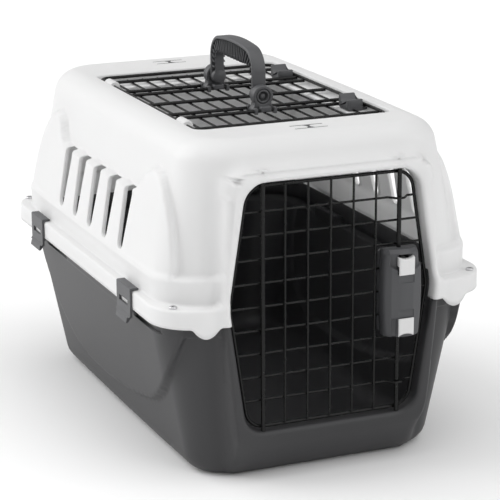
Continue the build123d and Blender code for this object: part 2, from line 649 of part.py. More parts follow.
def make_top_door_grille():
    grille = top_frame_wire()
    half = TOP_DOOR_WIDTH / 2
    offsets = sorted({s * o for o in LONG_WIRE_OFFSETS for s in (-1, 1)})
    for offset in offsets:
        y = TOP_DOOR_Y + offset
        grille = grille + straight_wire((-half - 2, y, LONG_WIRE_Z), (half - 1, y, LONG_WIRE_Z), TOP_WIRE)
    reach = TOP_DOOR_LENGTH / 2
    for i in range(CROSS_COUNT):
        x = (i - (CROSS_COUNT - 1) / 2) * CROSS_PITCH
        ends = [(x, TOP_DOOR_Y + s * (reach - 1), CROSS_Z) for s in (-1, 1)]
        grille = grille + straight_wire(ends[0], ends[1], CROSS_WIRE)
    return grille


def make_top_latch(side):
    """A saddle-shaped slide latch on the right end of the top door; side is -1 at the front."""
    y = TOP_DOOR_Y + side * TOP_LATCH_OFFSET
    x1 = TOP_DOOR_WIDTH / 2 - TOP_WIRE / 2 - PART_GAP - 2
    x0 = x1 - TOP_LATCH_WIDTH
    foot = LEDGE_Z + PART_GAP
    top = TOP_FRAME_Z + 11
    body = Pos((x0 + x1) / 2, y, (foot + top) / 2) * Box(TOP_LATCH_WIDTH, TOP_LATCH_LENGTH, top - foot)
    body = body - Pos((x0 + x1) / 2, y, top + 7) * Rot(0, 90, 0) * Cylinder(13, 60)
    body = fillet(body.edges().filter_by(Axis.Z), 1.5)
    wire_x = (CROSS_COUNT - 1) / 2 * CROSS_PITCH
    slot_long = TOP_LATCH_TRAVEL + CROSS_WIRE + 2 * PART_GAP
    slot = Pos(wire_x + TOP_LATCH_TRAVEL / 2, y, CROSS_Z) * Box(slot_long, 60, CROSS_WIRE + 2 * PART_GAP)
    tip = TOP_DOOR_WIDTH / 2 + RECESS_GAP - PART_GAP
    tongue_top = TOP_FRAME_Z - TOP_WIRE / 2 - PART_GAP
    tongue = Pos((x1 + tip) / 2 - 1, y, (foot + tongue_top) / 2) * Box(tip - x1 + 2, 16, tongue_top - foot)
    return body - slot + tongue


def make_handle_bracket(side):
    """A ring clipped on a pair of long wires; side is -1 at the front."""
    y = TOP_DOOR_Y + side * BRACKET_OFFSET
    half = (LONG_WIRE_OFFSETS[2] - LONG_WIRE_OFFSETS[1]) / 2
    ring = Pos(0, y, PIVOT_Z) * Rot(90, 0, 0) * Cylinder(RING_OUTER, RING_THICK)
    base_top = LONG_WIRE_Z + TOP_WIRE / 2 + 3
    foot = CROSS_Z + CROSS_WIRE / 2 + PART_GAP
    base = Pos(0, y, (foot + base_top) / 2) * Box(13, 2 * half + TOP_WIRE + 5, base_top - foot)
    neck = Pos(0, y, (base_top + PIVOT_Z) / 2 - 1) * Box(2 * RING_OUTER - 3, RING_THICK, PIVOT_Z - base_top + 2)
    bracket = ring + neck + base
    for s in (-1, 1):
        wire = Pos(0, y + s * half, LONG_WIRE_Z) * Rot(0, 90, 0) * Cylinder(TOP_WIRE / 2 + 0.05, 60)
        slit = Pos(0, y + s * half, LONG_WIRE_Z - 4) * Box(60, TOP_WIRE - 0.6, 8)
        bracket = bracket - wire - slit
    return bracket - Pos(0, y, PIVOT_Z) * Rot(90, 0, 0) * Cylinder(RING_BORE, RING_THICK + 2)


def handle_arch(grow, y_inset):
    """Side view of the handle's outer arch in the YZ plane."""
    reach = BRACKET_OFFSET - RING_THICK / 2 - PART_GAP - y_inset
    crest = PIVOT_Z + HANDLE_HEIGHT + grow
    foot = PIVOT_Z
    shoulder = 20 + grow
    with BuildSketch(Plane.YZ.offset(-HANDLE_THICK / 2)) as sketch:
        with BuildLine():
            c = TOP_DOOR_Y
            Polyline((c - reach, foot), (c - reach, crest - 8 - shoulder))
            ThreePointArc((c - reach, crest - 8 - shoulder), (c - reach + 7, crest - 12),
                          (c - reach + shoulder + 4, crest - 3))
            ThreePointArc((c - reach + shoulder + 4, crest - 3), (c, crest), (c + reach - shoulder - 4, crest - 3))
            ThreePointArc((c + reach - shoulder - 4, crest - 3), (c + reach - 7, crest - 12),
                          (c + reach, crest - 8 - shoulder))
            Polyline((c + reach, crest - 8 - shoulder), (c + reach, foot), (c - reach, foot))
        make_face()
    return extrude(sketch.sketch, HANDLE_THICK)


def make_carry_handle():
    """Arched handle with a waved grip, ribbed sides and a stub at each foot that turns in its ring."""
    leg = 11.0
    arch = handle_arch(0, 0)
    window_top = PIVOT_Z + HANDLE_HEIGHT - HANDLE_BAND - GRIP_DEPTH
    reach = BRACKET_OFFSET - RING_THICK / 2 - PART_GAP
    span = 2 * (reach - leg)
    low = PIVOT_Z - 30
    window = Pos(0, TOP_DOOR_Y, (low + window_top) / 2) * Box(60, span, window_top - low)
    window = fillet(window.edges().filter_by(Axis.X).group_by(Axis.Z)[-1], 9)
    handle = arch - window
    wave = span / GRIP_WAVES
    for i in range(GRIP_WAVES):
        y = TOP_DOOR_Y + (i - (GRIP_WAVES - 1) / 2) * wave
        handle = handle - Pos(0, y, window_top - wave * 0.55) * Rot(0, 90, 0) * Cylinder(wave * 0.62, 60)
    for side in (-1, 1):
        y = TOP_DOOR_Y + side * (reach + RING_THICK / 2 - 1)
        stub = Pos(0, y, PIVOT_Z) * Rot(90, 0, 0) * Cylinder(RING_BORE - RUN_GAP, RING_THICK + 2)
        bore = Pos(0, y + side * 3, PIVOT_Z) * Rot(90, 0, 0) * Cylinder(RING_BORE - 2.4, RING_THICK)
        heel_y = TOP_DOOR_Y + side * (reach - leg / 2)
        heel = Pos(0, heel_y, PIVOT_Z) * Rot(90, 0, 0) * Cylinder(HANDLE_THICK / 2, leg)
        handle = handle + heel + stub - bore
    return handle


def clip_section():
    """Side clip in the XZ plane at the right side: hook, strap, lower hook and finger tongue."""
    edge = WIDTH / 2
    inner = edge + PART_GAP
    outer = inner + CLIP_THICK
    top = FLANGE_TOP + PART_GAP
    low = top - CLIP_DROP
    hook_z = SEAM_Z - 1.2
    tip = edge - CLIP_HOOK + CLIP_THICK / 2
    return [(tip, top), (tip, top + CLIP_THICK), (outer - 1, top + CLIP_THICK),
            (outer, top + CLIP_THICK - 1), (outer, low + 4), (outer + 2.5, low), (outer + 3.5, low - 5),
            (outer + 1.3, low - 5), (inner, low), (inner, hook_z - 3), (inner - 2.4, hook_z - 0.6),
            (inner - 2.4, hook_z), (inner, hook_z), (inner, top)]


def make_side_clip(sx, sy):
    """One of the four clips that hold the two shells together."""
    y = sy * CLIP_Y
    with BuildSketch(Plane.XZ.offset(-(y + CLIP_WIDTH / 2))) as sketch:
        Polygon(*clip_section(), align=None)
    clip = extrude(sketch.sketch, CLIP_WIDTH)
    radius = CLIP_THICK / 2
    nose = Pos(WIDTH / 2 - CLIP_HOOK + radius, y, FLANGE_TOP + PART_GAP + radius) * Rot(90, 0, 0)
    clip = clip + nose * Cylinder(radius, CLIP_WIDTH)
    slot_z = SEAM_Z + 5.5
    clip = clip - Pos(WIDTH / 2, y, slot_z) * Box(40, CLIP_SLOT[0], CLIP_SLOT[1])
    low = FLANGE_TOP - CLIP_DROP
    for s in (-1, 1):
        clip = clip - Pos(WIDTH / 2, y + s * CLIP_WIDTH / 2, low - 8) * Box(60, 9, 20)
    if sx < 0:
        clip = mirror(clip, Plane.YZ)
    return clip


def make_corner_screws():
    """Four pan-head screws through both flanges."""
    screws = Part()
    for x, y in screw_places():
        head = Pos(x, y, FLANGE_TOP + 1.3) * Cylinder(SCREW_HEAD / 2, 2.6)
        head = fillet(head.edges().sort_by(Axis.Z)[-1], 1.2)
        cross = Pos(x, y, FLANGE_TOP + 2.4) * Box(5, 1.2, 1.6) + Pos(x, y, FLANGE_TOP + 2.4) * Box(1.2, 5, 1.6)
        shank = Pos(x, y, FLANGE_TOP - 6.5) * Cylinder(SCREW_SHANK / 2, 13)
        screws = screws + (head - cross + shank)
    return screws


def make_corner_nuts():
    """Four hexagon nuts under the lower shell's lip."""
    nuts = Part()
    top = SEAM_Z + RIM_HEIGHT - WALL
    for x, y in screw_places():
        body = extrude(Pos(x, y, top - 3.2) * RegularPolygon(NUT_WIDTH / 2, 6, major_radius=False), 3.2)
        nuts = nuts + (body - Pos(x, y, top) * Cylinder(SCREW_SHANK / 2 + 0.02, 20))
    return nuts


def add_parts():
    """Every piece of the carrier, by name."""
    parts["lower_shell"] = make_lower_shell()
    parts["upper_shell"] = make_upper_shell()
    for side, sx in (("left", -1), ("right", 1)):
        for end, sy in (("front", -1), ("rear", 1)):
            parts[f"side_clip_{side}_{end}"] = make_side_clip(sx, sy)
    parts["front_door_grille"] = make_front_door_grille()
    parts["hinge_rod"] = make_hinge_rod()
    parts["latch_housing"] = make_latch_housing()
    parts["latch_back"] = make_latch_back()
    for name, z, way in (("upper", UPPER_BUTTON_Z, 1), ("lower", LOWER_BUTTON_Z, -1)):
        parts[f"{name}_latch_button"] = make_button(z, way)
        parts[f"{name}_lock_rod"] = make_lock_rod(z, way)
    rib = 1.5 + PART_GAP / 2
    parts["upper_latch_spring"] = make_spring(LATCH_Z + rib, UPPER_BUTTON_Z - CARRIER_HALF - PART_GAP / 2)
    parts["lower_latch_spring"] = make_spring(LOWER_BUTTON_Z + CARRIER_HALF + PART_GAP / 2, LATCH_Z - rib)
    parts["top_door_grille"] = make_top_door_grille()
    for end, side in (("front", -1), ("rear", 1)):
        parts[f"top_latch_{end}"] = make_top_latch(side)
        parts[f"handle_bracket_{end}"] = make_handle_bracket(side)
    parts["carry_handle"] = make_carry_handle()
    parts["corner_screws"] = make_corner_screws()
    parts["corner_nuts"] = make_corner_nuts()


add_parts()
os.makedirs("parts", exist_ok=True)
for name, shape in parts.items():
    export_step(Pos(0, SHIFT_Y, 0) * shape, f"parts/{name}.step")
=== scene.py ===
import math

import bpy
import numpy as np
from bpy.props import FloatProperty, FloatVectorProperty, PointerProperty
from mathutils import Matrix, Vector


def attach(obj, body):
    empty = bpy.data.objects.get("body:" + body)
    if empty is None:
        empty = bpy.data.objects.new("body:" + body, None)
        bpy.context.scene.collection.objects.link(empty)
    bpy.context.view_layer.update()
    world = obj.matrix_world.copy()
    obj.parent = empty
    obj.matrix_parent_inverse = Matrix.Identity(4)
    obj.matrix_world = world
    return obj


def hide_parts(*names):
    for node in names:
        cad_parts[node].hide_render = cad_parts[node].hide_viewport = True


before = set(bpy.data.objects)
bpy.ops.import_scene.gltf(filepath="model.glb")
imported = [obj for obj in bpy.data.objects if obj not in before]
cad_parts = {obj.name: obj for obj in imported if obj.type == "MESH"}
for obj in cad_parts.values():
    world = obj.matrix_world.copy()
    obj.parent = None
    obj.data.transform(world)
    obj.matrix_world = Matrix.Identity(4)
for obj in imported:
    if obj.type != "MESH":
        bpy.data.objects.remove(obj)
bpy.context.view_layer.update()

bl_info = {
    "name": "Pet Transport Carrier",
    "version": (1, 0, 0),
    "blender": (4, 5, 0),
    "location": "View3D > Sidebar > Carrier",
    "description": "Builds the shells, doors, latches, clips and handle of a pet transport carrier",
    "category": "Object",
}

SHIFT_Y = 7.55              # mm from the middle of the shells to the middle of the whole carrier
SEAM_Z = 190.0
SEAM_GAP = 0.4
FLANGE_TOP = 211.0
PLINTH_TOP = 240.0
ROOF_Z = 386.0
FRONT_Y = -283.5
FLANGE_HX, FLANGE_HY, FLANGE_R = 200.0, 283.5, 51.0
PLINTH_HX, PLINTH_HY, PLINTH_R = 190.0, 268.0, 53.0
COLUMN_HX, COLUMN_HY = 179.5, 259.0
LEAN = 0.19
ROD_X = 82.2
HINGE_Y = -275.0
DOOR_FOOT_Z, DOOR_TOP_Z = 64.6, 339.8
DOOR_BEND_Z = 206.0
DOOR_HALF, DOOR_END_HALF = 120.0, 98.5
JAMB_GAP = 4.5
TOP_Y = -10.0
CORE_X, CORE_Y, CORE_R = 150.0, 215.0, 16.0     # rounded core that the wall rays aim at
RAY_REACH = 120.0
DOOR_BLOCK_X = 132.0                            # half width of the front that is filled round the doorway
VENTS = 5
VENT_TOP_Z = 312.0
VENT_BLOCK_Z = (236, 319.5)                     # heights between which each vent's block is filled
ROOF_TURN_Z = 352.0                             # height where the wall rays start to tilt up to the roof
SKIRT_Z = 200.0                                 # the skirt's tabs grow below this height
TAB_X, TAB_HALF = 151.0, 17.5
JAMB_DEPTH = 24.0
BEFORE_FRONT, BESIDE_WALL, ABOVE_ROOF = -300.0, 215.0, 400.0    # where the patch rays start
RECESS = (-121.0, 121.0, TOP_Y - 171.2, TOP_Y + 171.2, 12.0)
ROOF_HOLE = (-108.8, 91.8, TOP_Y - 161, TOP_Y + 132, 12.0)
TOP_FRAME_Z = 382.4
LEDGE_Z = 376.0


# ---------------------------------------------------------------- numbers on grids

def mm(length):
    """A length from the settings, in mm."""
    return round(length * 1000, 3)


def mesh_object(name, points, faces, body, material, replaces=()):
    """Puts points in mm and faces, as index rows padded with -1, into a mesh that rides on a body."""
    points = np.asarray(points, float).reshape(-1, 3)
    flat, sizes = [], []
    for rows in faces:
        rows = np.asarray(rows)
        if rows.size == 0:
            continue
        flat.append(rows.reshape(-1))
        sizes.append(np.full(len(rows), rows.shape[1]))
    flat, sizes = np.concatenate(flat), np.concatenate(sizes)
    used, flat = np.unique(flat, return_inverse=True)
    co = (points[used] + (0, SHIFT_Y, 0)) / 1000
    if not np.isfinite(co).all():
        raise RuntimeError(f"{name} has a point with no place")
    mesh = bpy.data.meshes.new(name)
    mesh.vertices.add(len(co))
    mesh.vertices.foreach_set("co", co.astype(np.float32).ravel())
    mesh.loops.add(len(flat))
    mesh.loops.foreach_set("vertex_index", flat.astype(np.int32))
    mesh.polygons.add(len(sizes))
    mesh.polygons.foreach_set("loop_start", np.concatenate(([0], np.cumsum(sizes)[:-1])).astype(np.int32))
    mesh.polygons.foreach_set("use_smooth", np.ones(len(sizes), bool))
    mesh.update(calc_edges=True)
    mesh.validate()
    obj = bpy.data.objects.new(name, mesh)
    bpy.context.scene.collection.objects.link(obj)
    obj.data.materials.append(material)
    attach(obj, body)
    if replaces:
        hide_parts(*replaces)
    return obj


def grid_faces(index, closed=False):
    """Quads between neighbouring rows and columns of an index grid; closed joins the last column to the first."""
    if closed:
        index = np.concatenate((index, index[:, :1]), axis=1)
    a, b = index[:-1, :-1], index[:-1, 1:]
    c, d = index[1:, 1:], index[1:, :-1]
    return np.stack((a, b, c, d), -1).reshape(-1, 4)


def rounded_rect(x, y, hx, hy, r):
    """Signed distance in plan from a rounded rectangle."""
    qx, qy = np.abs(x) - (hx - r), np.abs(y) - (hy - r)
    return np.hypot(np.maximum(qx, 0), np.maximum(qy, 0)) + np.minimum(np.maximum(qx, qy), 0) - r


def meet(a, b, r):
    """The part inside both fields, with its outer edge rounded to radius r."""
    return np.hypot(np.maximum(a + r, 0), np.maximum(b + r, 0)) + np.minimum(np.maximum(a, b), -r)


def join(a, b, r):
    """The part inside either field, with a hollow fillet of radius r where they meet."""
    return np.maximum(np.minimum(a, b), r) - np.hypot(np.maximum(r - a, 0), np.maximum(r - b, 0))


def rounded_outline(corners, radii, steps):
    """A closed polygon with each corner replaced by an arc of its own radius, as an array of points."""
    corners = np.asarray(corners, float)
    before, after = np.roll(corners, 1, 0) - corners, np.roll(corners, -1, 0) - corners
    before /= np.linalg.norm(before, axis=1, keepdims=True)
    after /= np.linalg.norm(after, axis=1, keepdims=True)
    half = np.arccos(np.clip((before * after).sum(1), -1, 1)) / 2
    radii = np.asarray(radii, float)
    middle = before + after
    middle /= np.linalg.norm(middle, axis=1, keepdims=True)
    centre = corners + middle * (radii / np.sin(half))[:, None]
    t = np.linspace(-1, 1, steps)[None, :, None]
    start = corners + before * (radii / np.tan(half))[:, None] - centre
    end = corners + after * (radii / np.tan(half))[:, None] - centre
    turn = (math.pi / 2 - half)[:, None, None]
    arc = (np.sin(turn * (1 - t)) * start[:, None] + np.sin(turn * (1 + t)) * end[:, None]) / np.sin(2 * turn)
    return (centre[:, None] + arc).reshape(-1, 2)


def along(path, fractions):
    """Points at the given fractions of a polyline's length."""
    steps = np.linalg.norm(np.diff(path, axis=0), axis=1)
    length = np.concatenate(([0], np.cumsum(steps)))
    at = np.asarray(fractions) * length[-1]
    return np.stack([np.interp(at, length, path[:, k]) for k in range(path.shape[1])], -1)


def grow_path(path, amount, closed=False):
    """A plane path moved sideways by amount, to the right of its direction."""
    if closed:
        ahead, behind = np.roll(path, -1, 0), np.roll(path, 1, 0)
    else:
        ahead = np.concatenate((path[1:], path[-1:]))
        behind = np.concatenate((path[:1], path[:-1]))
    way = ahead - behind
    way /= np.linalg.norm(way, axis=1, keepdims=True)
    return path + amount * np.stack((way[:, 1], -way[:, 0]), -1)


def outline_field(outline, reach, step=2.0):
    """Signed distance from a closed outline, tabled on a grid of the given step and read by interpolation."""
    low = outline.min(0) - reach
    count = np.ceil((outline.max(0) + reach - low) / step).astype(int) + 1
    u = low[0] + step * np.arange(count[0])
    v = low[1] + step * np.arange(count[1])
    p = np.stack(np.meshgrid(u, v, indexing="ij"), -1)[:, :, None]
    a, b = outline[None, None], np.roll(outline, -1, 0)[None, None]
    edge = b - a
    share = np.clip(((p - a) * edge).sum(-1) / np.maximum((edge ** 2).sum(-1), 1e-9), 0, 1)
    near = np.linalg.norm(p - a - edge * share[..., None], axis=-1).min(-1)
    above = (a[..., 1] > p[..., 1]) != (b[..., 1] > p[..., 1])
    with np.errstate(divide="ignore", invalid="ignore"):
        cross = a[..., 0] + (p[..., 1] - a[..., 1]) * edge[..., 0] / edge[..., 1]
    inside = (above & (p[..., 0] < cross)).sum(-1) % 2 == 1
    table = np.where(inside, -near, near)

    def read(y, z):
        i = np.clip((y - low[0]) / step, 0, count[0] - 1.001)
        j = np.clip((z - low[1]) / step, 0, count[1] - 1.001)
        i0, j0 = i.astype(int), j.astype(int)
        di, dj = i - i0, j - j0
        return (table[i0, j0] * (1 - di) * (1 - dj) + table[i0 + 1, j0] * di * (1 - dj) +
                table[i0, j0 + 1] * (1 - di) * dj + table[i0 + 1, j0 + 1] * di * dj)
    return read


def trace(field, start, way, reach, steps=56, halvings=22):
    """First point where each ray enters the field's solid: even steps, then halving of the step that crosses."""
    shape = start.shape[:-1]
    start, way = start.reshape(-1, 3), np.broadcast_to(way, start.shape).reshape(-1, 3)
    high = np.full(len(start), float(reach))
    found = np.zeros(len(start), bool)
    for k in range(1, steps + 1):
        t = reach * k / steps
        hit = ~found & (field(start + way * t) < 0)
        high[hit] = t
        found |= hit
    low = np.maximum(high - reach / steps, 0)
    for _ in range(halvings):
        middle = (low + high) / 2
        inside = field(start + way * middle[:, None]) < 0
        high = np.where(inside, middle, high)
        low = np.where(inside, low, middle)
    return (start + way * high[:, None]).reshape(*shape, 3)


# ---------------------------------------------------------------- the rounded core that rays start from

def core_ring(seg, t, x0, x1, y0, y1, r):
    """Points and outward normals of a rounded rectangle. Segments 0 to 7 are front, corner, right, corner, rear,
    corner, left, corner; t runs from 0 to 1 along each."""
    fx0, fx1, fy0, fy1 = x0 + r, x1 - r, y0 + r, y1 - r
    angle = math.pi / 2 * t
    x = np.choose(seg, [fx0 + (fx1 - fx0) * t, fx1 + r * np.sin(angle), x1 + 0 * t, fx1 + r * np.cos(angle),
                        fx1 + (fx0 - fx1) * t, fx0 - r * np.sin(angle), x0 + 0 * t, fx0 - r * np.cos(angle)])
    y = np.choose(seg, [y0 + 0 * t, fy0 - r * np.cos(angle), fy0 + (fy1 - fy0) * t, fy1 + r * np.sin(angle),
                        y1 + 0 * t, fy1 + r * np.cos(angle), fy1 + (fy0 - fy1) * t, fy0 - r * np.sin(angle)])
    nx = np.choose(seg, [0 * t, np.sin(angle), 1 + 0 * t, np.cos(angle), 0 * t, -np.sin(angle), -1 + 0 * t,
                         -np.cos(angle)])
    ny = np.choose(seg, [-1 + 0 * t, -np.cos(angle), 0 * t, np.sin(angle), 1 + 0 * t, np.cos(angle), 0 * t,
                         -np.sin(angle)])
    return np.stack((x, y), -1), np.stack((nx, ny), -1)


def columns(front, corner_front, side, corner_rear, rear):
    """Segment numbers and places of the columns, from the places along each kind of segment without its end."""
    left = (1 - side)[::-1]
    left = np.concatenate(([0.0], left[:-1])) if left[0] > 0 else left
    back = (1 - corner_front)[::-1]
    back = np.concatenate(([0.0], back[:-1])) if back[0] > 0 else back
    back_rear = (1 - corner_rear)[::-1]
    back_rear = np.concatenate(([0.0], back_rear[:-1])) if back_rear[0] > 0 else back_rear
    runs = [front, corner_front, side, corner_rear, rear, back_rear, left, back]
    seg = np.concatenate([np.full(len(run), k) for k, run in enumerate(runs)])
    return seg, np.concatenate(runs)


def spread(edges, counts):
    """Even steps between the given edges, without the last edge."""
    runs = [np.linspace(a, b, n, endpoint=False) for a, b, n in zip(edges[:-1], edges[1:], counts)]
    return np.concatenate(runs)


# ---------------------------------------------------------------- fields of the two shells

def round_corner(x, y, flat_x, flat_y, r):
    """Place along the side wall: y beside its flat part, and arc length further round the corner."""
    turn = np.arctan2(np.maximum(np.abs(y) - flat_y, 0), np.maximum(np.abs(x) - flat_x, 1e-6))
    return np.sign(y) * (np.minimum(np.abs(y), flat_y) + r * turn)


def bow(y):
    """Sideways bulge of the long walls, greatest at their middle."""
    return 4.0 * (1 - (y / COLUMN_HY) ** 2)


UPPER_PANEL = np.array([
    (-245, 232), (-244, 250), (-239, 270), (-231, 294), (-221, 315), (-210, 331), (-199, 340), (-188, 345),
    (-177, 346.5), (-167, 344), (-157, 338), (-148, 329), (-139, 320), (-131, 314), (-121, 312), (112, 312),
    (122, 314), (129, 320), (137, 329), (145, 338), (153, 343), (162, 345), (173, 343), (184, 338), (195, 329),
    (206, 315), (216, 294), (223, 270), (227, 250), (228, 232)], float)
LOWER_PANEL = np.array([
    (222, 196), (216, 140), (204, 102), (192, 86), (180, 76), (160, 61), (136, 50), (108, 44), (78, 42.5),
    (48, 42), (14, 43.5), (-20, 46), (-75, 52), (-110, 59), (-133, 64), (-151, 69), (-164, 75), (-176, 82),
    (-197, 96), (-216, 113), (-228, 126), (-239, 142), (-250, 160), (-259, 176), (-262, 196)], float)
SURROUND_Z = (0, 30, 60, 92.8, 174.6, 206, 261, 338, 400)
SURROUND_HALF = (112, 114, 118, 121.9, 129.5, 131.5, 127.0, 121.8, 118.5)


def surround_field(x, y, z, g, high):
    """Raised collar round the doorway: upright front, hood above the lintel, slope below the sill."""
    half = np.interp(z, SURROUND_Z, SURROUND_HALF) + g
    front = (FRONT_Y - g) - y
    if high:
        side = meet(np.abs(x) - half, z - (357.0 + g), 22)
        hood = (z - (352.5 + g)) * 0.80 - (y - FRONT_Y) * 0.60
        return np.maximum(meet(meet(side, front, 4), hood, 9), y + 200)
    chin = -((y - FRONT_Y) * 57 + (z - 57) * 33.5) / 66.1 - g
    foot = -z + max(-g, 0)
    return np.maximum(meet(meet(meet(np.abs(x) - half, front, 5), chin, 9), foot, 19), y + 200)


def upper_field(p, g=0.0):
    """Upper shell: leaning walls with a rounded roof, raised side panels, plinth, flange and collar."""
    x, y, z = p[..., 0], p[..., 1], p[..., 2]
    rise = np.maximum(z - PLINTH_TOP, 0)
    wall = rounded_rect(x, y, COLUMN_HX + bow(y) + g - LEAN * rise, COLUMN_HY + g, 48 + 0.07 * rise + g)
    body = meet(wall, z - (ROOF_Z + g), 24)
    place = round_corner(x, y, 131.5 - LEAN * rise, 211.0, 50.0)
    panel = meet(wall - 9.0, upper_panel_edge(place, z) - g, 3.5)
    panel = np.where(np.abs(x) > 100, panel, 50.0)
    body = join(body, panel, 3.5)
    plinth = meet(rounded_rect(x, y, PLINTH_HX + g, PLINTH_HY + g, PLINTH_R + g), z - (PLINTH_TOP + g), 4.5)
    body = join(body, plinth, 5)
    flange = meet(rounded_rect(x, y, FLANGE_HX + g, FLANGE_HY + g, FLANGE_R + g), z - (FLANGE_TOP + g), 3)
    body = join(body, flange, 3)
    body = join(body, surround_field(x, y, z, g, True), 13)
    for side in (-1, 1):
        post = meet(np.hypot(x - side * ROD_X, y - HINGE_Y) - 6.5 - g, z - (359.5 + g), 3)
        body = join(body, post, 3)
    return body


def lower_field(p, g=0.0):
    """Lower shell: tapered tub with a rounded base, raised side panels, a band under the flange and the collar."""
    x, y, z = p[..., 0], p[..., 1], p[..., 2]
    k = np.clip(z, 0, 240) / SEAM_Z
    wall = rounded_rect(x, y, 146.2 + 37.4 * k + bow(y) * 0.6 + g, 247.5 + 18 * k + g, 39.4 + 10.6 * k + g)
    floor = -z + (-g if g < 0 else 0)
    tub = meet(wall, floor, 19)
    proud = np.interp(y, (-260, -150, 60, 220), (9.0, 7.0, 4.5, 2.5))
    place = round_corner(x, y, 106.8 + 26.8 * k, 208.1 + 7.4 * k, 50.0)
    panel = meet(wall - proud, lower_panel_edge(place, z) - g, 2.6)
    panel = np.where(np.abs(x) > 90, panel, 50.0)
    body = join(tub, panel, 2.2)
    band = meet(rounded_rect(x, y, 188.5 + g, 267 + g, 52 + g), (174 - g) - z, 2)
    body = join(body, band, 3)
    if g == 0:
        for middle in (-199.0, 123.0):
            notch = np.maximum(np.maximum(np.abs(y - middle) - 36, 174.5 - z), 179 - np.abs(x))
            body = meet(body, -notch, 1.2)
    return np.maximum(join(body, surround_field(x, y, z, g, False), 12), floor)


upper_panel_edge = outline_field(UPPER_PANEL, 30)
lower_panel_edge = outline_field(LOWER_PANEL, 30)


def door_outline(grow, steps):
    """The door frame's outline grown by grow, counter-clockwise in (x, z) from the lower left corner."""
    mid, end = DOOR_HALF + grow, DOOR_END_HALF + grow
    low, high = DOOR_FOOT_Z - grow, DOOR_TOP_Z + grow
    corners = [(-end, low), (end, low), (mid, DOOR_BEND_Z), (end, high), (-end, high), (-mid, DOOR_BEND_Z)]
    r = 22 + grow
    return rounded_outline(corners, [r, r, 60, r, r, 60], steps)


# ---------------------------------------------------------------- skins with holes

class Skin:
    """Points and faces of a closed wall that is gathered piece by piece."""

    def __init__(self):
        self.points, self.faces, self.count = [], [], 0

    def add(self, points):
        """Adds an array of points and returns their indices in the same arrangement."""
        points = np.asarray(points, float)
        size = points.size // 3
        index = np.arange(self.count, self.count + size).reshape(points.shape[:-1])
        self.points.append(points.reshape(-1, 3))
        self.count += size
        return index

    def quads(self, index, closed=False, flip=False, keep=None):
        """Adds the quads of an index grid, leaving out those where keep is False."""
        faces = grid_faces(index, closed)
        if keep is not None:
            faces = faces[keep.ravel()]
        self.faces.append(faces[:, ::-1] if flip else faces)

    def fan(self, ring, centre, flip=False):
        """Triangles from a closed ring to one point."""
        faces = np.stack((ring, np.roll(ring, -1), np.full(len(ring), centre)), -1)
        self.faces.append(faces[:, ::-1] if flip else faces)

    def cap(self, loop, flip=False):
        """One flat face with many corners."""
        self.faces.append(np.asarray(loop)[None, ::-1] if flip else np.asarray(loop)[None])


def blend_rings(outer, inner, shares):
    """Rings between two matching paths at the given shares."""
    shares = np.asarray(shares)[:, None, None]
    return outer[None] * (1 - shares) + inner[None] * shares


def match_quarters(path, anchors, counts):
    """Resamples a closed path between four anchor indices, with the given number of points in each quarter."""
    runs = []
    n = len(path)
    for k in range(4):
        a, b = anchors[k], anchors[(k + 1) % 4]
        span = (b - a) % n
        part = path[(a + np.arange(span + 1)) % n]
        runs.append(along(part, np.linspace(0, 1, counts[k], endpoint=False)))
    return np.concatenate(runs)


def vent_outline(y):
    """A tapered vent slot with rounded ends, counter-clockwise in (y, z) from its lower left."""
    s = bpy.context.scene.carrier_shell
    top, foot = mm(s.vent_top) / 2, mm(s.vent_foot) / 2
    high, low = VENT_TOP_Z, VENT_TOP_Z - mm(s.vent_height)
    corners = [(y - foot, low), (y + foot, low), (y + top, high), (y - top, high)]
    return rounded_outline(corners, [foot * 0.92, foot * 0.92, 6, 6], 12)


